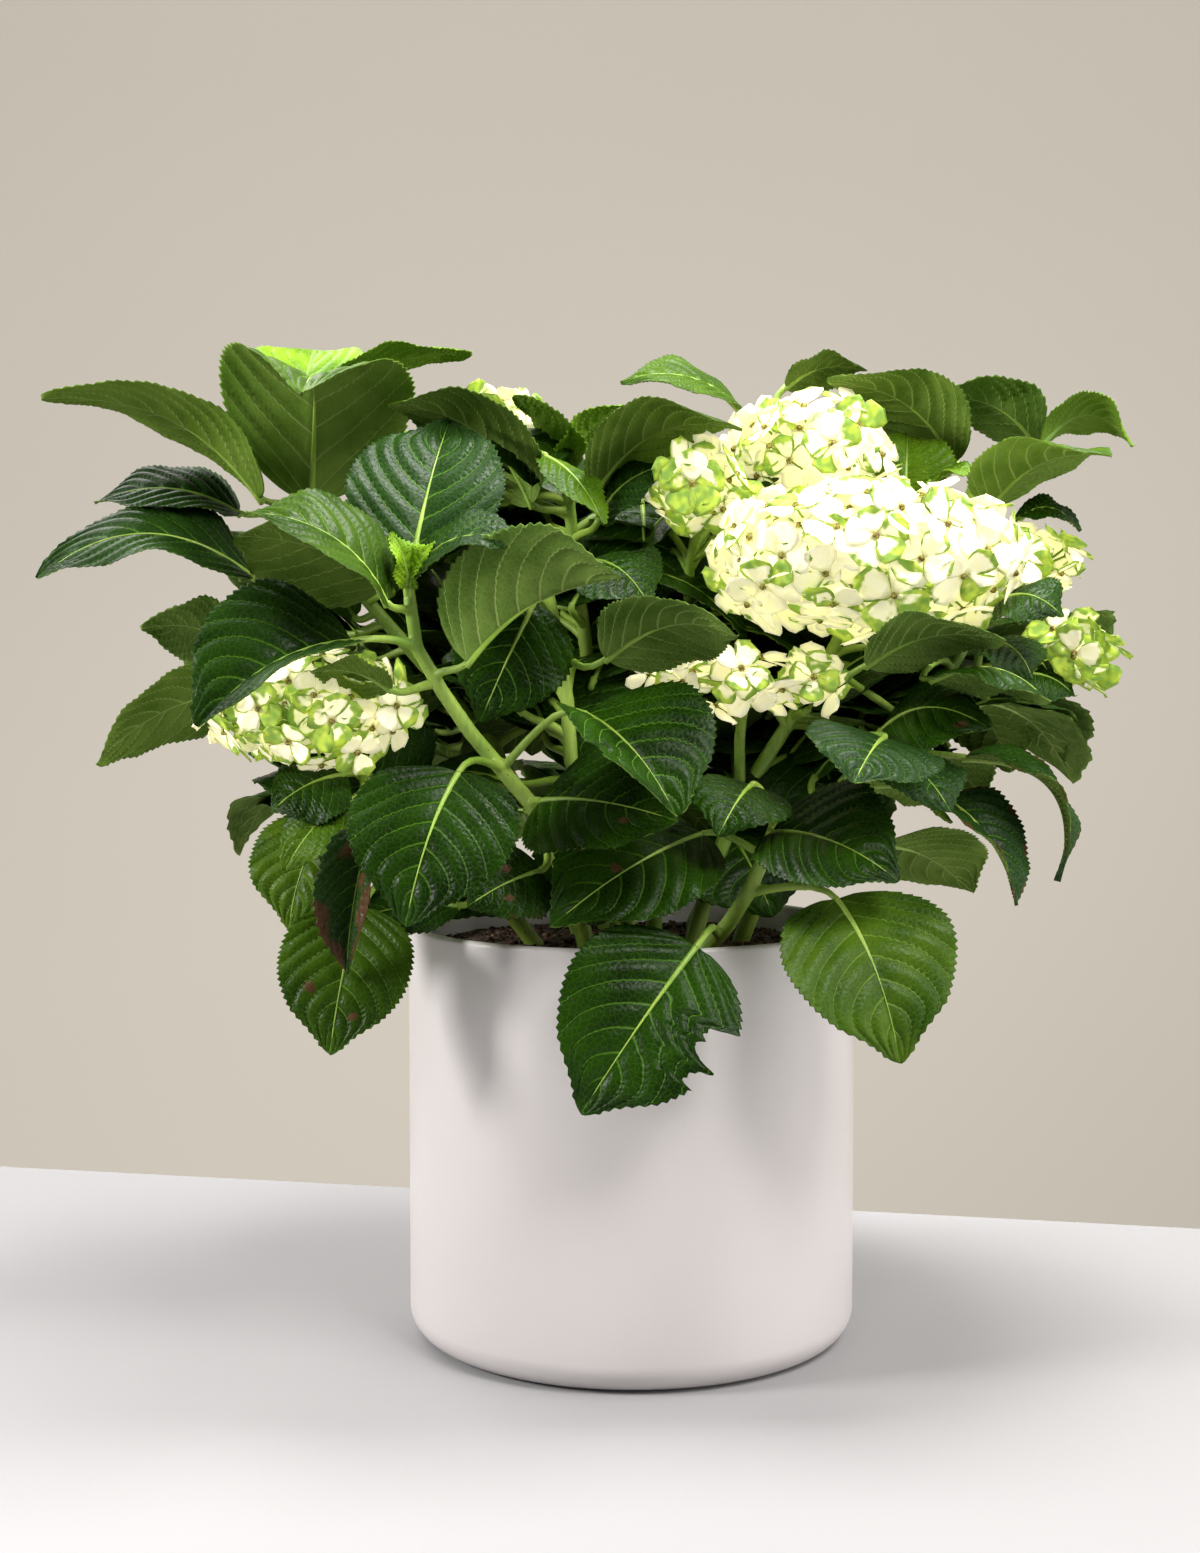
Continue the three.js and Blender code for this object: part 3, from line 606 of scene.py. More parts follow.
def addBlade(shape, blade, base, fineness=1.0):
    # grid over u (base to tip) and v (margin to margin); relief = pillows between curved veins,
    # grooves on the veins and the midrib, a rippled margin and teeth that point to the tip
    random = np.random.default_rng(blade["seed"])
    size = bladeSize
    teeth = int(size["teeth"] * fineness)
    rows = teeth * size["rowsPerTooth"] + 1
    columns = int(size["columns"] * fineness) // 2 * 2 + 1
    u = np.linspace(0, 1, rows)[:, None]
    v = np.sin(np.linspace(-1, 1, columns) * math.pi / 2 * 0.86)[None, :] / math.sin(math.pi / 2 * 0.86)
    s = np.abs(v)
    halfWidth = blade["width"] / 2 * outline(u)
    halfWidth = halfWidth * (1 - size["pinch"] * smooth(u, 0.74, 0.93) * smooth(1.02 - u, 0, 0.1)) + 0.25
    # teeth: a saw that rises towards the tip and drops back, fading out at both ends
    phase = (u * teeth) % 1.0
    saw = np.where(phase < 0.76, phase / 0.76, (1 - phase) / 0.24)
    toothed = size["toothLength"] * saw * smooth(u, 0.03, 0.12) * smooth(1 - u, 0.01, 0.06)
    edge = smooth(s, 0.8, 1.0)
    # bites: stretches of margin that are missing
    kept = np.ones_like(u * v)
    for side, start, stop, depth in blade["bites"]:
        middle, half = (start + stop) / 2, (stop - start) / 2
        dip = np.clip(1 - ((u - middle) / half) ** 2, 0, 1) ** 0.5
        ragged = 1 + 0.12 * np.sin(u * 61 + start * 40) + 0.06 * np.sin(u * 137)
        kept = kept * np.where(v * side > 0, 1 - depth * dip * ragged, 1)
    reach = (halfWidth + toothed * edge) * kept
    # relief
    shift = 0.25 * (v > 0)
    q = size["veinPairs"] * (u - 0.2 * s - 0.2 * s * s) + shift
    part = (q + 20) % 1.0
    near = np.abs(part - 0.5) * 2
    fade = smooth(s, 0.0, 0.22) * (1 - 0.75 * smooth(s, 0.75, 1))
    fade = fade * smooth(u, 0, 0.12) * smooth(1 - u, 0, 0.12)
    relief = size["pillow"] * (1 - near ** 2.4 - 0.45) * fade
    relief = relief - size["veinGroove"] * np.exp(-((1 - near) / 0.15) ** 2) * fade
    lateral = s * halfWidth
    relief = relief - size["ribGroove"] * np.exp(-(lateral / 2.0) ** 2) * smooth(1 - u, 0, 0.2)
    ladder = np.sin(s * halfWidth * 2 * math.pi / 6.5 + 1.3 * np.sin(q * 6.28))
    relief = relief + size["ladder"] * ladder * fade * (1 - near ** 2)
    # ripple of the margin and a slow bend of the whole blade
    a, b, c = random.uniform(0, 6.28, 3)
    side = np.where(v > 0, 1.0, 0.0) * 1.7
    wave = np.sin(u * 9.5 + a + side) * 0.7 + np.sin(u * 17 + b - side) * 0.3
    relief = relief + size["ripple"] * wave * s ** 2 * smooth(u, 0.02, 0.2) * blade["ripple"]
    relief = relief + size["bow"] * np.sin(u * 4.2 + c) * s * (1 - 0.3 * s)
    relief = relief - blade["camber"] * s ** 2.0 * np.sin(np.pi * np.clip(u, 0, 1)) ** 0.6
    upper = bladePoints(blade, u, v, reach, relief) + base
    lower = upper - size["sheet"] * surfaceNormals(upper)
    n, m = rows, columns
    index = np.arange(n * m).reshape(n, m)
    inner = np.arange((n - 2) * (m - 2)).reshape(n - 2, m - 2) + n * m
    below = index.copy()
    below[1:-1, 1:-1] = inner
    every = np.concatenate([upper.reshape(-1, 3), lower[1:-1, 1:-1].reshape(-1, 3)])
    top = np.stack([index[:-1, :-1], index[:-1, 1:], index[1:, 1:], index[1:, :-1]], -1).reshape(-1, 4)
    under = np.stack([below[:-1, :-1], below[1:, :-1], below[1:, 1:], below[:-1, 1:]], -1).reshape(-1, 4)
    uv = np.stack(np.broadcast_arrays(u, (v + 1) / 2), -1)
    length = np.linalg.norm(blade["run"])
    uvMm = np.stack(np.broadcast_arrays(u * length, v * halfWidth), -1) / 100
    mark = np.zeros((n, m))
    for spotU, spotV, radius in blade["spots"]:
        away = np.hypot((u - spotU) * length, (v - spotV) * halfWidth)
        mark = np.maximum(mark, smooth(-away, -radius * 1.6, -radius * 0.6))
    if blade["withered"] > 0:
        rot = np.sin(u * 7 + v * 3 + a) * 0.3 + np.sin(u * 19 - v * 5) * 0.2 + s * 0.4
        mark = np.maximum(mark, blade["withered"] * smooth(rot, 0.0, 0.7))
    mark = np.maximum(mark, 0.9 * blade["brownEdge"] * smooth(s + 0.15 * np.sin(u * 23 + b), 0.86, 1.05))
    bare = uv[1:-1, 1:-1].reshape(-1, 2), uvMm[1:-1, 1:-1].reshape(-1, 2), mark[1:-1, 1:-1].reshape(-1)
    uv = np.concatenate([uv.reshape(-1, 2), bare[0]])
    uvMm = np.concatenate([uvMm.reshape(-1, 2), bare[1]])
    mark = np.concatenate([mark.reshape(-1), bare[2]])
    if np.dot(np.cross(upper[n // 2, m // 2 + 1] - upper[n // 2, m // 2],
                       upper[n // 2 + 1, m // 2] - upper[n // 2, m // 2]),
              lower[n // 2, m // 2] - upper[n // 2, m // 2]) > 0:
        top, under = top[:, ::-1], under[:, ::-1]
    # the second tone channel is the painted sheen share
    tone = (blade["youth"], blade["paintedSheen"], random.uniform(0, 1))
    start = shape.count
    shape.add(every, [top], 0, uv, uvMm, tone, mark)
    shape.faces.append(under + start)
    shape.slots.append(np.full(len(under), 1))
    # the midrib stands out below as a tapering rod that starts where the stalk ends
    t = np.linspace(-0.015, 0.9, max(10, int(26 * fineness)))
    path = bladePoints(blade, t, 0.0, 1.0, -0.55 - 0.25 * (1 - t)) + base
    radii = size["ribTip"] + (size["ribBase"] - size["ribTip"]) * (1 - smooth(t, -0.05, 0.75)) ** 1.4
    addTube(shape, path, radii, 8, 2, tone)


def blade(run, width, arch=10, fold=8, face=(0, 0, 1), twist=0, youth=0.0, paintedSheen=0.0, ripple=1.0, camber=2.0,
          bites=(), spots=(), withered=0.0, brownEdge=0.0, seed=1, shown=None):
    # a row of the table: lengths in mm, angles in degrees, the rest as shares; shown overrides what is drawn
    return dict(shown=shown, run=run, width=width, arch=arch, fold=fold, face=face, twist=twist,
                youth=youth, paintedSheen=paintedSheen, ripple=ripple, camber=camber, bites=bites, spots=spots,
                withered=withered, brownEdge=brownEdge, seed=seed)


# the blades that the frame holds, by node: the run from base to tip and the shape are those of the frame
# the grey shares here are painted sheen, light glancing off those leaves
blades = {
    "leaf_far_left_top": blade((-111, -20, 51), 74, 20, 10, (0.3, 0.3, 0.9), youth=0.55),
    "leaf_fan_left": blade((11, -110, 45), 106, 35, 18, (0, 0.8, 0.6), youth=0.3),
    "leaf_crown_left": blade((-2, 72, 58), 76, 8, 20, (0, -0.6, 0.8), youth=0.95),
    "leaf_crown_right": blade((79, 10, 20), 64, 16, 10, (-0.2, 0.45, 0.85), youth=0.8,
                              shown={"arch": 5, "fold": 4, "width": 56, "face": (-0.25, 0.12, 0.95)}),
    "leaf_left_shelf": blade((-76, -10, 5), 60, 12, 8, (0, -0.45, 0.9), paintedSheen=0.8),
    "leaf_far_left_mid": blade((-109, -20, -2), 64, 26, 8, (0, -0.5, 0.86), paintedSheen=0.45, ripple=1.8),
    "leaf_left_low": blade((-83, -30, -39), 66, 14, 0, (-0.4, 0.5, 0.75), youth=0.2),
    "leaf_upright_blue": blade((14, 67, 77), 80, 8, 15, (0, -0.85, 0.5), paintedSheen=0.7),
    "leaf_arching_left": blade((-65, -20, 43), 74, 14, 12, (0.3, -0.4, 0.85), youth=0.16, paintedSheen=0.2),
    "leaf_big_left": blade((-69, -30, -41), 86, 12, 30, (-0.2, -0.6, 0.75), paintedSheen=0.15),
    "leaf_folded_centre": blade((76, -15, 41), 86, 12, 42, (-0.45, 0.5, 0.72), paintedSheen=0.3),
    "leaf_top_left_arch": blade((-75, -20, 51), 76, 18, 5, (0.35, 0.4, 0.85), youth=0.15),
    "leaf_top_right_of_tip": blade((76, -30, 30), 76, 18, 5, (-0.3, 0.35, 0.88), youth=0.2),
    "leaf_top_behind": blade((-68, -20, 14), 60, 12, 5, (0.1, -0.4, 0.9), youth=0.2),
    "leaf_centre_under": blade((62, -34, 11), 66, 14, 0, (0.1, 0.5, 0.86)),
    "leaf_saddle": blade((43, -38, -48), 92, 8, 28, (0.4, -0.6, 0.7), bites=((1, 0.5, 0.6, 0.2),)),
    "leaf_round_front": blade((67, -47, -7), 82, 6, 5, (0.1, -0.75, 0.65), spots=((0.72, 0.35, 2.0),)),
    "leaf_low_front": blade((-76, -48, -42), 78, 8, 8, (-0.2, -0.75, 0.63),
                            spots=((0.55, 0.1, 2.4), (0.6, 0.7, 2.0))),
    "leaf_big_front_left": blade((-23, -35, -71), 82, 12, 5, (-0.1, -0.85, 0.5)),
    "leaf_left_droop": blade((-21, -20, -58), 62, 10, 5, (-0.3, -0.8, 0.4), youth=0.34),
    "leaf_over_rim_left": blade((-12, -30, -69), 66, 8, 5, (-0.1, -0.95, 0.2), youth=0.12,
                                spots=((0.6, 0.5, 2.5), (0.75, -0.4, 2.0))),
    "leaf_over_rim_front": blade((-56, -25, -77), 86, 10, 8, (-0.1, -0.95, 0.25),
                                 bites=((-1, 0.3, 0.5, 0.36), (-1, 0.52, 0.62, 0.2))),
    "leaf_over_rim_right": blade((26, -40, -74), 86, 14, 8, (0.15, -0.85, 0.5), youth=0.28, paintedSheen=0.3),
    "leaf_low_right": blade((58, -35, -21), 76, 10, 10, (0.1, -0.7, 0.7)),
    "leaf_grey_right": blade((-20, -42, -20), 66, 6, 0, (0, -0.7, 0.7), paintedSheen=0.9),
    "leaf_matte_right": blade((57, 40, -30), 74, 8, 5, (0.3, 0.6, 0.7), youth=0.2),
    "leaf_twisted_right": blade((32, -25, -51), 46, 8, 25, (0.6, -0.5, 0.6), 40, paintedSheen=0.8, brownEdge=0.6),
    "leaf_hanging_right": blade((45, -20, -62), 52, 25, 15, (0.7, -0.2, 0.7), 20, paintedSheen=0.3, brownEdge=0.5,
                                ripple=1.8),
    "leaf_arched_right": blade((51, -25, 2), 76, 14, 0, (0.1, -0.6, 0.8), spots=((0.8, 0.5, 2.5),)),
    "leaf_under_flower_right": blade((64, -26, 12), 62, 10, 0, (-0.1, 0.4, 0.9)),
    "leaf_long_right": blade((53, -28, -11), 58, 12, -15, (0, 0.2, 0.98)),
    "leaf_top_right_arch": blade((-73, -20, 41), 76, 16, 5, (0.45, 0.4, 0.8), paintedSheen=0.2),
    "leaf_top_right_under": blade((51, -60, 21), 76, 12, 10, (-0.35, 0.45, 0.82), youth=0.2),
    "leaf_top_right_light": blade((49, -10, -2), 46, 20, 10, (-0.1, 0.4, 0.9), youth=0.7),
    "leaf_back_left": blade((-66, 74, -28), 88, 16, 8, (-0.3, 0.5, 0.8)),
    "leaf_back_middle": blade((-22, 62, -68), 90, 20, 8, (0, 0.8, 0.6), paintedSheen=0.2),
    "leaf_back_right": blade((56, 66, -38), 88, 16, 8, (0.3, 0.6, 0.7), youth=0.15),
    "leaf_back_low": blade((38, 54, -60), 82, 14, 8, (0.2, 0.8, 0.5)),
    "leaf_back_low_left": blade((-48, 52, -60), 80, 14, 8, (-0.3, 0.7, 0.5)),
}


def makeFrameLeaves():
    # one blade for each leaf of the frame, set so that its plain blade shares that leaf's middle
    for number, (node, shapeOf) in enumerate(blades.items()):
        shapeOf["seed"] = 100 + number
        middle = toArray(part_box(node)).mean(0) / mm
        shape = Shape()
        base = middle - coarseCentre(shapeOf)
        addBlade(shape, {**shapeOf, **(shapeOf["shown"] or {})}, base)
        piece = shape.build("fine_" + node, [upperLeaf, lowerLeaf, stalkGreen])
        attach(piece, "root")
        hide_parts(node)


makeFrameLeaves()
print("frame leaves made:", len(blades))


def addSepal(shape, centre, outward, normal, length, width, cup, tone, twist):
    # grid over u (claw to rim) and v (edge to edge): width u^0.62 (1 - u^3.4)^0.5, cupped and waved
    rows, columns = floretSize["rows"], floretSize["columns"] + 1
    u = np.linspace(0, 1, rows)[:, None] ** 0.85
    v = np.linspace(-1, 1, columns)[None, :]
    half = width / 2 * (np.clip(u, 0, 1) ** 0.62 * np.clip(1 - u ** 3.4, 0, 1) ** 0.5) / 0.82 + 0.15
    notch = 1 - 0.05 * np.exp(-(v / 0.25) ** 2) * smooth(u, 0.7, 1.0)
    along = u * length * notch
    rise = cup * u ** 2 + 0.9 * np.abs(v) ** 2 * np.sin(u * math.pi) + twist * v * u * 2.2
    rise = rise + 0.35 * np.sin(v * 5 + twist * 9) * u ** 2
    side = np.cross(normal, outward)
    points = (centre + along[..., None] * outward + (v * half)[..., None] * side + rise[..., None] * normal)
    upper = points
    lower = points - floretSize["sheet"] * surfaceNormals(points) * np.sign(
        np.sum(surfaceNormals(points) * normal, -1, keepdims=True))
    n, m = rows, columns
    index = np.arange(n * m).reshape(n, m)
    below = index.copy()
    below[1:-1, 1:-1] = np.arange((n - 2) * (m - 2)).reshape(n - 2, m - 2) + n * m
    every = np.concatenate([upper.reshape(-1, 3), lower[1:-1, 1:-1].reshape(-1, 3)])
    top = np.stack([index[:-1, :-1], index[1:, :-1], index[1:, 1:], index[:-1, 1:]], -1).reshape(-1, 4)
    under = np.stack([below[:-1, :-1], below[:-1, 1:], below[1:, 1:], below[1:, :-1]], -1).reshape(-1, 4)
    uv = np.stack(np.broadcast_arrays(u, (v + 1) / 2), -1)
    uvMm = np.stack(np.broadcast_arrays(along, v * half), -1) / 20
    uv = np.concatenate([uv.reshape(-1, 2), uv[1:-1, 1:-1].reshape(-1, 2)])
    uvMm = np.concatenate([uvMm.reshape(-1, 2), uvMm[1:-1, 1:-1].reshape(-1, 2)])
    shape.add(every, [top, under], 0, uv, uvMm, tone)


def addFloret(shape, random, centre, normal, size, green, brown, core):
    # four sepals round an eye, the opposite pairs at two heights, on a thin pedicel to the core
    reference = np.array([0.0, 0.0, 1.0]) if abs(normal[2]) < 0.9 else np.array([0.0, 1.0, 0.0])
    first = unit(np.cross(normal, reference))
    second = np.cross(normal, first)
    turn = random.uniform(0, math.pi / 2)
    count = 4 if random.uniform() < floretSize["fourShare"] else 5
    for k in range(count):
        angle = turn + k * 2 * math.pi / count + random.uniform(-0.12, 0.12)
        outward = first * math.cos(angle) + second * math.sin(angle)
        lifted = centre + normal * (floretSize["pairLift"] * (k % 2)) + outward * floretSize["claw"]
        length = size * random.uniform(0.92, 1.08)
        tone = (np.clip(green + random.normal(0, 0.3), 0, 1), random.uniform(0, 1),
                brown * (random.uniform() < 0.4))
        addSepal(shape, lifted, outward, normal, length, length * random.uniform(1.1, 1.28),
                 random.uniform(-1.5, 5.0), tone, random.uniform(-0.5, 0.5))
    # eye: a small knobbly bead, rings of a turned profile
    around = np.arange(7) / 7 * 2 * math.pi
    profile = np.array([[0.9, -0.4], [1.25, 0.5], [0.85, 1.3], [0.3, 1.7]]) * floretSize["eye"]
    ring = np.cos(around)[None, :, None] * first + np.sin(around)[None, :, None] * second
    bead = centre + ring * profile[:, 0][:, None, None] + profile[:, 1][:, None, None] * normal
    tops = np.stack([centre + normal * profile[0, 1], centre + normal * (profile[-1, 1] + 0.15)])
    k = np.arange(7)
    shape.add(np.concatenate([bead.reshape(-1, 3), tops]),
              [gridQuads(4, 7, wrap=True), np.stack([np.full(7, 28), (k + 1) % 7, k], -1),
               np.stack([np.full(7, 29), 21 + k, 21 + (k + 1) % 7], -1)], 1)
    bend = centre - normal * 5
    addTube(shape, bezier(core, core * 0.5 + bend * 0.5, bend, centre - normal * 0.2, 6),
            np.linspace(0.9, floretSize["pedicel"], 6), 5, 2, (0.9, 0, 0.5))


def headPoints(centre, half, spacing, random):
    # points set on a ball by the golden angle, jittered, then scaled to the ellipsoid
    area = 4 * math.pi * (((half[0] * half[1]) ** 1.6 + (half[0] * half[2]) ** 1.6
                           + (half[1] * half[2]) ** 1.6) / 3) ** (1 / 1.6)
    count = max(8, int(area / (spacing ** 2 * 0.87)))
    k = np.arange(count) + 0.5
    z = 1 - 2 * k / count
    radius = np.sqrt(1 - z * z)
    angle = k * math.pi * (3 - math.sqrt(5))
    ball = np.stack([radius * np.cos(angle), radius * np.sin(angle), z], -1)
    ball = unit(ball + random.normal(0, 0.05, ball.shape))
    return centre + ball * half, unit(ball / half)


heads = {
    # flower_left is greener and browner than the rest: partly its own colour, partly painted shade of that
    # head
    "flower_left": dict(green=0.52, brown=0.8, size=14.5, spacing=25),
    "flower_top_left": dict(green=0.42, brown=0.0, size=14.0, spacing=23),
    "flower_top": dict(green=0.24, brown=0.1, size=17.0, spacing=24),
    "flower_top_small": dict(green=0.45, brown=0.0, size=17.0, spacing=24),
    "flower_front": dict(green=0.28, brown=0.05, size=18.5, spacing=25.5),
    "flower_low": dict(green=0.34, brown=0.4, size=15.0, spacing=25),
    "flower_right": dict(green=0.42, brown=0.1, size=16.0, spacing=25),
    "flower_right_low": dict(green=0.8, brown=0.3, size=15.5, spacing=24),
}


def makeHead(node, look, seed):
    # florets over an ellipsoid inside the head's box, and a second layer at 0.8 of its size
    random = np.random.default_rng(seed)
    low, high = toArray(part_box(node)) / mm
    centre, half = (low + high) / 2, (high - low) / 2
    inside = np.maximum(half - look["size"] * floretSize["sink"], half * floretSize["least"])
    points, normals = headPoints(centre, inside, look["spacing"], random)
    core = centre - np.array([0, 0, half[2] * 0.25])
    shape = Shape()
    outerCount = len(points)
    innerPoints, innerNormals = headPoints(centre, inside * floretSize["innerLayer"],
                                           look["spacing"], random)
    points, normals = np.concatenate([points, innerPoints]), np.concatenate([normals, innerNormals])
    for number, (point, normal) in enumerate(zip(points, normals)):
        tilt = floretSize["tilt"] if number < outerCount else floretSize["innerTilt"]
        normal = unit(normal + random.normal(0, tilt, 3))
        point = point + normal * random.uniform(*floretSize["depth"])
        edge = np.clip(1 - np.abs(normal[2]), 0, 1) * 0.1
        size = look["size"] * random.uniform(*floretSize["sizes"])
        addFloret(shape, random, point, normal, size, look["green"] + edge + random.normal(0, 0.08),
                  look["brown"], core)
    piece = shape.build("florets_" + node, [petalCream, floretEye, stalkGreen])
    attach(piece, "root")
    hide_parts(node)
    return len(points)


florets = sum(makeHead(node, look, 500 + k) for k, (node, look) in enumerate(heads.items()))
print("flower heads made, florets:", florets)


planterShape = {"wall": 5, "floor": 7, "footCorner": 16, "innerCorner": 12, "steps": 288, "cornerSteps": 14}


def arc(x, z, radius, start, stop, steps):
    # points of a circle about (x, z) from one angle to another: centre + radius (cos, sin)
    angle = np.radians(np.linspace(start, stop, steps + 1))
    return np.stack([x + radius * np.cos(angle), z + radius * np.sin(angle)], -1)


def makePlanter():
    # a profile turned about the axis: foot corner, outer wall, round rim, inner wall, inner corner
    p = planterShape
    outer, height = planterRadius, rimCentre[2]
    inner, lip = outer - p["wall"], p["wall"] / 2
    n = p["cornerSteps"]
    profile = np.concatenate([
        np.array([[30.0, 0.0], [60.0, 0.0], [90.0, 0.0]]),
        arc(outer - p["footCorner"], p["footCorner"], p["footCorner"], -90, 0, n),
        np.stack([np.full(11, outer), np.linspace(30, height - 14, 11)], -1),
        arc(outer - lip, height - lip, lip, 0, 180, n),
        np.stack([np.full(9, inner), np.linspace(height - 12, 40, 9)], -1),
        arc(inner - p["innerCorner"], p["floor"] + p["innerCorner"], p["innerCorner"], 0, -90, n),
        np.array([[60.0, p["floor"]], [30.0, p["floor"]]]),
    ])
    angle = np.arange(p["steps"]) / p["steps"] * 2 * math.pi
    ring = np.stack([np.cos(angle), np.sin(angle)], -1)
    points = np.zeros((len(profile), p["steps"], 3))
    points[..., :2] = profile[:, 0][:, None, None] * ring + rimCentre[:2]
    points[..., 2] = profile[:, 1][:, None]
    last = len(profile) * p["steps"]
    poles = np.array([[rimCentre[0], rimCentre[1], 0.0], [rimCentre[0], rimCentre[1], p["floor"]]])
    k = np.arange(p["steps"])
    nextK = (k + 1) % p["steps"]
    shape = Shape()
    shape.add(np.concatenate([points.reshape(-1, 3), poles]),
              [gridQuads(len(profile), p["steps"], wrap=True),
               np.stack([np.full(p["steps"], last), nextK, k], -1),
               np.stack([np.full(p["steps"], last + 1), last - p["steps"] + k,
                         last - p["steps"] + nextK], -1)])
    piece = shape.build("planter_shell", [whiteGlaze])
    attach(piece, "root")
    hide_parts("planter")


makePlanter()

soilShape = {
    "rings": 60, "steps": 180, "lump": 1.6, "below": 2.2, "fall": 3.2,
    "crumbs": 1500, "crumbSize": (0.9, 2.8),
}


def bumpy(x, y, random, octaves=5, first=0.05):
    # sums of sine waves in random directions, each octave half as high and twice as fine
    total = np.zeros_like(x)
    for octave in range(octaves):
        for _ in range(5):
            angle, shift = random.uniform(0, 6.28, 2)
            k = first * 2 ** octave * random.uniform(0.8, 1.3)
            along = x * math.cos(angle) + y * math.sin(angle)
            total = total + np.sin(along * k * 2 + shift) / 2 ** octave / 5
    return total


def makeSoil():
    # a disc with a lumpy top that falls a little to the wall, its side and bottom closed
    random = np.random.default_rng(77)
    low, high = toArray(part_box("soil")) / mm
    outer = (high[0] - low[0]) / 2
    p = soilShape
    top = high[2] - p["below"]
    share = np.linspace(0.02, 1, p["rings"])[:, None]
    angle = (np.arange(p["steps"]) / p["steps"] * 2 * math.pi)[None, :]
    x, y = share * outer * np.cos(angle), share * outer * np.sin(angle)
    z = top - p["fall"] * smooth(share, 0.6, 1.0) + p["lump"] * bumpy(x, y, random)
    z = np.minimum(z, high[2])
    surface = np.stack([x, y, z], -1)
    wall = np.stack([np.broadcast_to(outer * np.cos(angle), (3, p["steps"])),
                     np.broadcast_to(outer * np.sin(angle), (3, p["steps"])),
                     np.broadcast_to(np.array([[top - 12], [top - 80], [low[2] + 8]]), (3, p["steps"]))], -1)
    floor = np.stack([outer * 0.94 * np.cos(angle), outer * 0.94 * np.sin(angle),
                      np.full_like(angle, low[2])], -1)
    body = np.concatenate([surface, wall, floor])
    rows = len(body)
    last = rows * p["steps"]
    k = np.arange(p["steps"])
    nextK = (k + 1) % p["steps"]
    poles = np.array([[0, 0, float(z[0].mean())], [0, 0, low[2]]])
    quads = gridQuads(rows, p["steps"], wrap=True)[:, ::-1]
    shape = Shape()
    shape.add(np.concatenate([body.reshape(-1, 3), poles]),
              [quads, np.stack([np.full(p["steps"], last), k, nextK], -1),
               np.stack([np.full(p["steps"], last + 1), last - p["steps"] + nextK,
                         last - p["steps"] + k], -1)])
    # crumbs: small lumps of eight points, half sunk in the surface
    corners = np.array([[x, y, z] for x in (-1, 1) for y in (-1, 1) for z in (-1, 1)], float)
    cube = np.array([[0, 1, 3, 2], [4, 6, 7, 5], [0, 4, 5, 1], [2, 3, 7, 6], [0, 2, 6, 4], [1, 5, 7, 3]])
    n = p["crumbs"]
    radius = outer * np.sqrt(random.uniform(0, 0.985, n))
    turn = random.uniform(0, 2 * math.pi, n)
    size = random.uniform(*p["crumbSize"], n) * random.uniform(0.5, 1, n)
    place3 = np.stack([radius * np.cos(turn), radius * np.sin(turn),
                       top - p["fall"] * smooth(radius / outer, 0.6, 1.0)], -1)
    place3[:, 2] += random.uniform(-0.5, 0.9, n)
    inside = radius + size * 1.5 < outer
    place3, size = place3[inside], size[inside]
    n = len(place3)
    spin = random.uniform(0, 2 * math.pi, (n, 1))
    stretch = random.uniform(0.55, 1.1, (n, 8, 3))
    lumps = corners[None] * stretch * size[:, None, None] * 0.8
    turned = np.stack([lumps[..., 0] * np.cos(spin) - lumps[..., 1] * np.sin(spin),
                       lumps[..., 0] * np.sin(spin) + lumps[..., 1] * np.cos(spin), lumps[..., 2] * 0.8], -1)
    faces = (cube[None] + 8 * np.arange(n)[:, None, None]).reshape(-1, 4)
    shape.add((turned + place3[:, None, :]).reshape(-1, 3), [faces])
    piece = shape.build("soil_bed", [pottingSoil])
    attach(piece, "root")
    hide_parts("soil")


makeSoil()
print("planter and soil made")


# the canes' own points, from the rim's centre, as the frame has them: extra leaves spring from these
stemPoints = {
    "left_front": [(-50, -72, 65), (-77, -86, 98), (-90, -91, 118), (-106, -94, 142), (-111, -96, 172)],
    "left": [(-95, -22, 38), (-138, -48, 78), (-163, -66, 112)],
    "left_back": [(-72, 30, 86), (-126, 22, 152), (-164, 10, 198), (-180, 2, 222)],
    "left_back_fork": [(-72, 30, 86), (-92, 50, 160), (-78, 62, 266)],
    "centre": [(-20, -42, 57), (-34, -46, 97), (-34, -46, 125), (-44, -46, 176)],
    "centre_back": [(-20, 12, 110), (-30, 8, 190), (-35, 0, 238)],
    "right_front": [(50, -76, 10), (62, -86, 34), (72, -84, 62)],
    "flower_front": [(58, -14, 67), (92, -26, 122), (116, -54, 172)],
    "flower_low": [(58, -14, 67), (56, -36, 100), (58, -62, 130)],
    "right": [(98, -34, 58), (126, -54, 98), (156, -54, 124), (190, -42, 138), (224, -28, 146)],
    "right_fork": [(156, -54, 124), (180, -34, 158), (208, -6, 184)],
    "right_back": [(92, 62, 88), (150, 58, 160), (180, 44, 212), (192, 36, 242)],
    "top": [(38, 40, 100), (66, 32, 176), (94, 22, 238)],
    "top_fork": [(38, 40, 100), (30, 6, 170), (35, -26, 222)],
    "back": [(-22, 96, 66), (-16, 126, 136), (-8, 136, 196)],
}


def stemSamples():
    # points every few millimetres along every stem, joined by straight runs
    rows = []
    for path in stemPoints.values():
        path = np.array(path, float)
        t = np.linspace(0, len(path) - 1, 24)
        rows.append(np.stack([np.interp(t, np.arange(len(path)), path[:, k]) for k in range(3)], -1))
    return np.concatenate(rows)


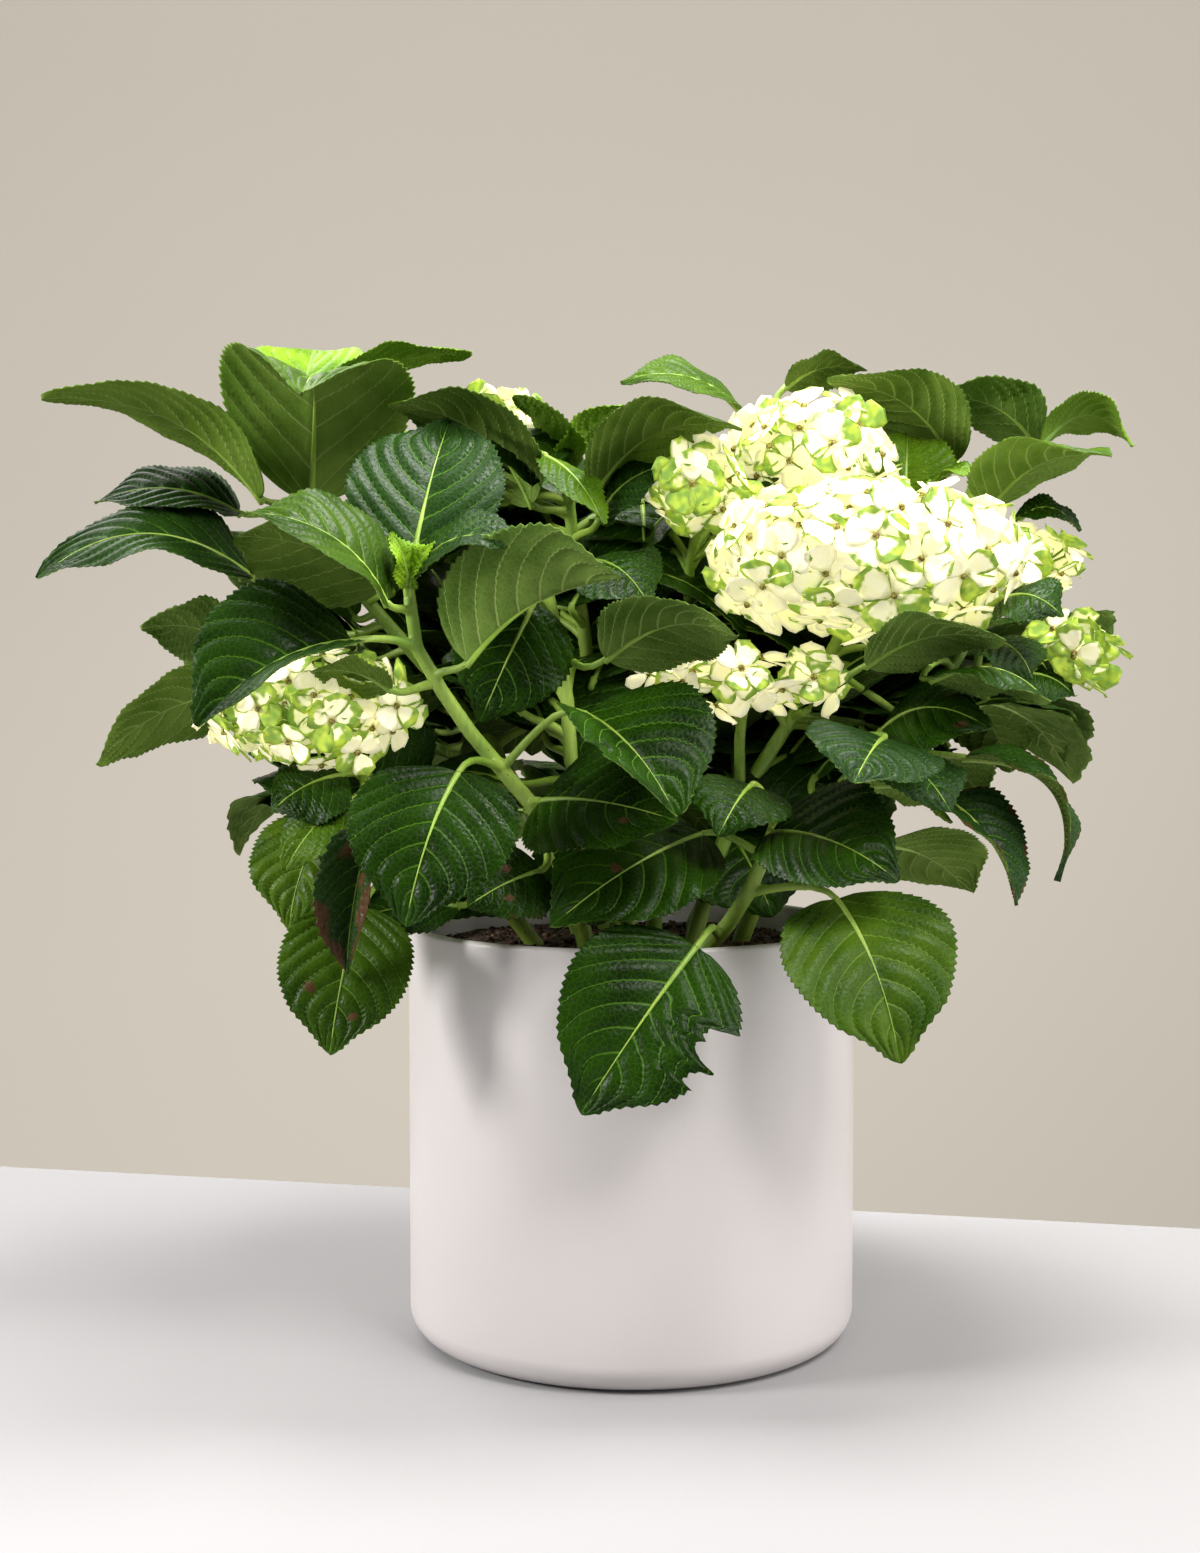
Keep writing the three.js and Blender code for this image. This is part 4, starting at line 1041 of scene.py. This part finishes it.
# leaves that the frame leaves to the fine model: (name, base, tip, width, arch, fold, face, look)
extraLeaves = [
    ("left_under", (-130, -20, 180), (-204, -60, 204), 84, 10, -8, (0.1, 0.6, 0.8), {}),
    ("left_hidden", (-214, 20, 146), (-266, 10, 158), 56, 10, 0, (-0.1, 0.6, 0.78), {}),
    ("small_right", (-108, -100, 183), (-52, -110, 195), 46, 14, 10, (-0.2, -0.45, 0.85), {"paintedSheen": 0.4}),
    ("centre_shade", (-50, -60, 171), (-78, -70, 109), 60, 8, 0, (0.2, -0.8, 0.5), {}),
    ("left_olive", (-120, -95, 126), (-158, -110, 135), 32, 6, 0, (0, 0.5, 0.85), {"youth": 0.3}),
    ("tip_left", (-35, 0, 240), (-63, -10, 281), 44, 6, 15, (0.5, 0.3, 0.8), {"youth": 0.9}),
    ("tip_right", (-35, 0, 242), (-5, -10, 276), 36, 6, 15, (-0.5, 0.3, 0.8), {"youth": 0.95}),
    ("edge_lit", (-46, -25, 248), (-15, -60, 209), 34, 6, 0, (0.3, -0.3, 0.9), {"youth": 0.35}),
    ("dusky", (-18, -20, 214), (20, -30, 243), 50, 8, 0, (-0.3, -0.5, 0.8), {"paintedSheen": 0.5}),
    ("dark_margin", (-22, -50, 192), (8, -70, 168), 60, 8, 0, (0.2, -0.6, 0.75), {}),
    ("small_round", (-46, -100, 37), (-81, -125, 22), 46, 5, 0, (0, -0.85, 0.5),
     {"spots": ((0.4, 0.3, 2.5), (0.6, -0.4, 2.0), (0.7, 0.4, 1.6)), "brownEdge": 0.4}),
    ("left_droop_front", (-140, -75, 72), (-174, -90, 36), 40, 8, 10, (-0.3, -0.8, 0.5), {"youth": 0.2}),
    ("withered", (-130, -100, 57), (-141, -115, -13), 44, 6, 50, (-0.3, -0.9, 0.2),
     {"withered": 0.8, "paintedSheen": 0.9}),
    ("pale_low_left", (-89, -70, 16), (-155, -80, 5), 40, 6, 0, (0, -0.5, 0.85), {"paintedSheen": 0.3}),
    ("under_flower_left", (-146, -70, 83), (-182, -80, 65), 52, 6, 0, (-0.2, -0.7, 0.6), {}),
    ("small_dark_centre", (59, -90, 79), (40, -125, 56), 52, 6, 5, (0, -0.75, 0.66), {}),
    ("grey_sheen_right", (125, -85, 91), (153, -120, 67), 54, 8, 0, (0.3, -0.6, 0.7), {"paintedSheen": 0.9}),
    ("olive_right", (115, -75, 77), (159, -90, 60), 46, 8, 0, (0, 0.3, 0.95), {"youth": 0.2}),
    ("matte_mid_right", (175, -10, 125), (207, 10, 80), 62, 8, 0, (0.4, 0.6, 0.6), {"youth": 0.15}),
    ("matte_inner_right", (158, 0, 87), (194, 20, 64), 50, 8, 0, (0.3, 0.5, 0.8), {"youth": 0.15}),
    ("behind_flower_right", (185, -70, 171), (213, -90, 162), 46, 8, 0, (0.2, -0.7, 0.7), {}),
    ("inner_right", (182, -60, 151), (201, -75, 131), 50, 6, 0, (0.3, -0.5, 0.8), {}),
    ("below_green_flower", (203, -30, 133), (230, -40, 122), 46, 6, 0, (0.2, -0.6, 0.75), {}),
    ("top_behind_flower", (87, 60, 294), (132, 50, 302), 46, 8, 0, (0, 0.3, 0.95), {}),
    ("top_right_dark", (231, 60, 259), (169, 60, 288), 60, 14, 5, (0.1, 0.4, 0.9), {}),
    ("bright_behind_flower", (149, 20, 233), (153, 40, 266), 52, 4, 15, (0, -0.8, 0.5), {"youth": 0.5}),
    ("bright_tip", (162, 15, 237), (192, 5, 240), 22, 5, 10, (0, -0.3, 0.95), {"youth": 0.7}),
    ("right_wisp", (206, 10, 214), (241, 0, 210), 32, 12, 10, (0, -0.4, 0.9), {}),
    ("shade_low_left", (-120, -30, 62), (-150, -52, 96), 78, 6, 0, (-0.2, -0.8, 0.5), {}),
    ("shade_left", (-96, -20, 70), (-128, -40, 24), 84, 8, 0, (-0.2, -0.8, 0.5), {}),
    ("shade_rim_left", (-66, -20, 44), (-96, -52, 8), 72, 6, 0, (-0.1, -0.8, 0.5), {}),
    ("shade_rim_centre", (-6, -20, 52), (-22, -56, 4), 80, 6, 0, (0, -0.85, 0.5), {}),
    ("shade_rim_right", (52, 0, 50), (74, -34, 6), 82, 6, 0, (0.1, -0.85, 0.5), {}),
    ("shade_centre", (4, -8, 132), (-10, -36, 74), 92, 8, 0, (0, -0.85, 0.5), {}),
    ("shade_right", (96, 10, 104), (112, -18, 44), 92, 8, 0, (0.2, -0.85, 0.5), {}),
    ("shade_upper", (6, 20, 226), (8, -6, 168), 84, 8, 0, (0, -0.85, 0.5), {}),
    ("young_left", (-112, -98, 176), (-119, -106, 203), 20, 4, 15, (0.4, -0.6, 0.6), {"youth": 1.0}),
    ("young_right", (-110, -98, 176), (-97, -108, 198), 18, 4, 15, (-0.4, -0.6, 0.6), {"youth": 1.0}),
]

fillSize = {
    "count": 190, "length": (64, 90), "widthShare": (0.86, 1.04), "seed": 41,
    "margin": 24, "front": -35, "lowest": 16, "highest": 262,
    "crownHalfWidth": 250, "crownHalfHeight": 155, "crownMiddle": 120,
}


def fillLeaves():
    # leaves that spring outwards from the stems in the middle and at the back of the plant
    p = fillSize
    random = np.random.default_rng(p["seed"])
    samples = stemSamples()
    samples = samples[(samples[:, 2] > 12) & (samples[:, 1] > -60)]
    low, high = toArray(cadBox) / mm - rimCentre
    made = []
    while len(made) < p["count"]:
        start = samples[random.integers(len(samples))]
        length = random.uniform(*p["length"])
        outward = unit(np.array([start[0] * 0.8, start[1] + 60, 0]) + random.normal(0, 55, 3) * (1, 1, 0))
        rise = random.uniform(-0.75, 0.45)
        base = start + outward * random.uniform(14, 40) + np.array([0, 0, rise * 10])
        tip = base + unit(outward + np.array([0, 0, rise])) * length
        inside = (tip > low + p["margin"]).all() and (tip < high - p["margin"]).all()
        if not inside or tip[1] < p["front"] or base[1] < p["front"] - 10:
            continue
        if tip[2] > p["highest"] or tip[2] < p["lowest"]:
            continue
        across, upward = tip[0] / p["crownHalfWidth"], (tip[2] - p["crownMiddle"]) / p["crownHalfHeight"]
        share = across ** 2 + upward ** 2
        if share > 1:
            continue
        face = unit(outward * 0.35 + np.array([0, -0.15 if tip[1] < 40 else 0.2, 0.9]))
        # the grey share paints a faint sheen of light
        look = {"paintedSheen": random.uniform(0, 0.3), "youth": random.uniform(0, 0.04)}
        width = length * random.uniform(*p["widthShare"])
        made.append((f"fill_{len(made)}", tuple(base), tuple(tip), width,
                     random.uniform(8, 18), random.uniform(0, 12), tuple(face), look))
    return made


def makeExtraLeaves(name, table, fineness, perPiece):
    # several small leaves to a piece, each with a stalk that bends from the nearest stem to its base
    samples = stemSamples()
    for first in range(0, len(table), perPiece):
        shape = Shape()
        for number, row in enumerate(table[first:first + perPiece]):
            _, base, tip, width, arch, fold, face, look = row
            base, tip = np.array(base, float), np.array(tip, float)
            made = blade(tuple(tip - base), width, arch, fold, face, seed=900 + first + number, **look)
            addBlade(shape, made, base + rimCentre, fineness)
            gap = np.linalg.norm(samples - (base - np.array([0, 0, 12.0])), axis=1)
            foot = samples[np.argmin(gap)]
            ahead = bladePoints(made, np.array([0.0, 0.03]), 0.0, 1.0, 0.0)
            heading = unit(ahead[1] - ahead[0])
            reach = np.linalg.norm(base - foot)
            path = bezier(foot, foot + (base - foot) * 0.35 + np.array([0, 0, 0.12 * reach]),
                          base - heading * reach * 0.35, base + heading * 1.0, 12)
            tone = (look.get("youth", 0), 0, 0.5)
            addTube(shape, path + rimCentre, np.linspace(2.5, 1.75, 12), 8, 2, tone)
        piece = shape.build(f"{name}_{first // perPiece}", [upperLeaf, lowerLeaf, stalkGreen])
        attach(piece, "root")


makeExtraLeaves("small_leaves", extraLeaves, 0.64, 10)
makeExtraLeaves("inner_leaves", fillLeaves(), 0.34, 24)
print("smaller leaves made")

caneFinish = {"weld": 0.0001, "voxel": 0.0009, "smoothing": 0.5, "rounds": 8}


def finishCane(piece):
    # the frame's cane keeps its mesh; modifiers weld it, remesh its joints into one skin and round it
    weld = piece.modifiers.new("weld", "WELD")
    weld.merge_threshold = caneFinish["weld"]
    remesh = piece.modifiers.new("skin", "REMESH")
    remesh.mode = "VOXEL"
    remesh.voxel_size = caneFinish["voxel"]
    remesh.use_smooth_shade = True
    rounding = piece.modifiers.new("rounding", "SMOOTH")
    rounding.factor = caneFinish["smoothing"]
    rounding.iterations = caneFinish["rounds"]
    piece.data.materials.clear()
    piece.data.materials.append(caneGreen)
    return piece


canes = [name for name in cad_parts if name.startswith("cane_")]
for name in canes:
    finishCane(bpy.data.objects[name])
print("canes finished:", len(canes))


stageSize = {
    "edgeLeft": (-0.451, 0.372), "edgeRight": (0.378, 0.198), "reach": 3.0, "depth": 3.2,
    "wallAt": 3.2, "wallHalf": 6.0, "wallLow": -3.0, "wallHigh": 5.0,
    "floorColour": linear(161, 160, 162), "wallColour": linear(190, 183, 171), "wallPaintedGlow": 0.74,
}


def plainMaterial(name, colour, roughness, paintedGlow=0.0):
    # one soft colour with a faint cloud over it; the wall has a little painted glow of its own, and painted
    # shade darkens it down to the right
    material, tree, shader = newMaterial(name)
    spot = addNode(tree, "ShaderNodeTexCoord").outputs["Object"]
    cloud = noise(tree, spot, 1.4, 2.0)
    base = blend(tree, cloud, colour, tuple(0.97 * c for c in colour[:3]) + (1.0,))
    # painted shade: on the wall, the colour darkens towards the lower right
    across = addNode(tree, "ShaderNodeSeparateXYZ", {0: spot})
    lower = minus(tree, across.outputs[0], across.outputs[2])
    base = blend(tree, between(tree, lower, 0.0, 2.6, 0.0, 0.8 if paintedGlow else 0.0), base,
                 tuple(0.84 * c for c in colour[:3]) + (1.0,))
    tree.links.new(base, shader.inputs["Base Color"])
    shader.inputs["Roughness"].default_value = roughness
    # painted light: the wall glows in its own colour
    if paintedGlow:
        tree.links.new(base, shader.inputs["Emission Color"])
        shader.inputs["Emission Strength"].default_value = paintedGlow
    return material


def makeStage():
    # a flat floor with a straight far edge, and an upright wall far behind it
    s = stageSize
    left, right = np.array(s["edgeLeft"]), np.array(s["edgeRight"])
    along = unit(right - left)
    back = np.array([-along[1], along[0]])
    a, b = left - along * s["reach"], right + along * s["reach"]
    c, d = b - back * s["depth"], a - back * s["depth"]
    floorMesh = bpy.data.meshes.new("pale_floor")
    floorMesh.from_pydata([(*d, 0), (*c, 0), (*b, 0), (*a, 0)], [], [(0, 1, 2, 3)])
    w, y, low, high = s["wallHalf"], s["wallAt"], s["wallLow"], s["wallHigh"]
    wallMesh = bpy.data.meshes.new("warm_wall")
    wallMesh.from_pydata([(-w, y, low), (w, y, low), (w, y, high), (-w, y, high)], [], [(0, 1, 2, 3)])
    floorMesh.materials.append(plainMaterial("paleFloor", s["floorColour"], 0.8))
    wallMesh.materials.append(plainMaterial("warmWall", s["wallColour"], 0.9, s["wallPaintedGlow"]))
    for mesh in (floorMesh, wallMesh):
        thing = bpy.data.objects.new(mesh.name, mesh)
        bpy.context.scene.collection.objects.link(thing)


makeStage()


def areaLight(name, place, target, size, power, colour):
    # a square lamp at a place, aimed at a target
    data = bpy.data.lights.new(name, "AREA")
    data.size = size
    data.energy = power
    data.color = colour
    light = bpy.data.objects.new(name, data)
    light.location = place
    towards = np.array(target) - np.array(place)
    light.rotation_euler = Vector(towards).to_track_quat("-Z", "Y").to_euler()
    bpy.context.scene.collection.objects.link(light)


lamps = [
    # name, place, aimed at, size, power, colour
    ("leftLight", (-1.5, -0.5, 0.85), (0, 0, 0.2), 0.4, 26, (1.0, 0.98, 0.96)),
    ("rightTopLight", (0.7, -1.0, 1.6), (0.14, -0.03, 0.42), 0.6, 26, (1.0, 0.98, 0.94)),
    ("topLight", (0.25, 0.0, 1.4), (0.14, 0, 0.45), 0.45, 20, (1.0, 0.99, 0.96)),
    ("rightLight", (1.6, -0.45, 0.8), (0, 0, 0.12), 2.0, 30, (1.0, 0.97, 0.95)),
    ("floorFill", (-0.9, 0.6, 1.5), (-0.6, 0.1, 0.0), 1.4, 26, (1.0, 0.98, 0.97)),
]
for lamp in lamps:
    areaLight(*lamp)

room = {"colour": (0.95, 0.94, 0.93, 1), "strength": 0.13}
world = bpy.data.worlds.new("softRoom")
world.use_nodes = True
background = world.node_tree.nodes["Background"]
background.inputs[0].default_value = room["colour"]
background.inputs[1].default_value = room["strength"]
bpy.context.scene.world = world
bpy.context.scene.view_settings.view_transform = "Standard"

view = {"lens": 50, "sensor": 36, "place": (-0.017, -1.162, 0.361), "tilt": 87}   # mm, mm, m, degrees
cameraData = bpy.data.cameras.new("viewCamera")
cameraData.lens = view["lens"]
cameraData.sensor_width = view["sensor"]
camera = bpy.data.objects.new("viewCamera", cameraData)
camera.location = view["place"]
camera.rotation_euler = (math.radians(view["tilt"]), 0, 0)
bpy.context.scene.collection.objects.link(camera)
bpy.context.scene.camera = camera
print("stage, lights and camera made")
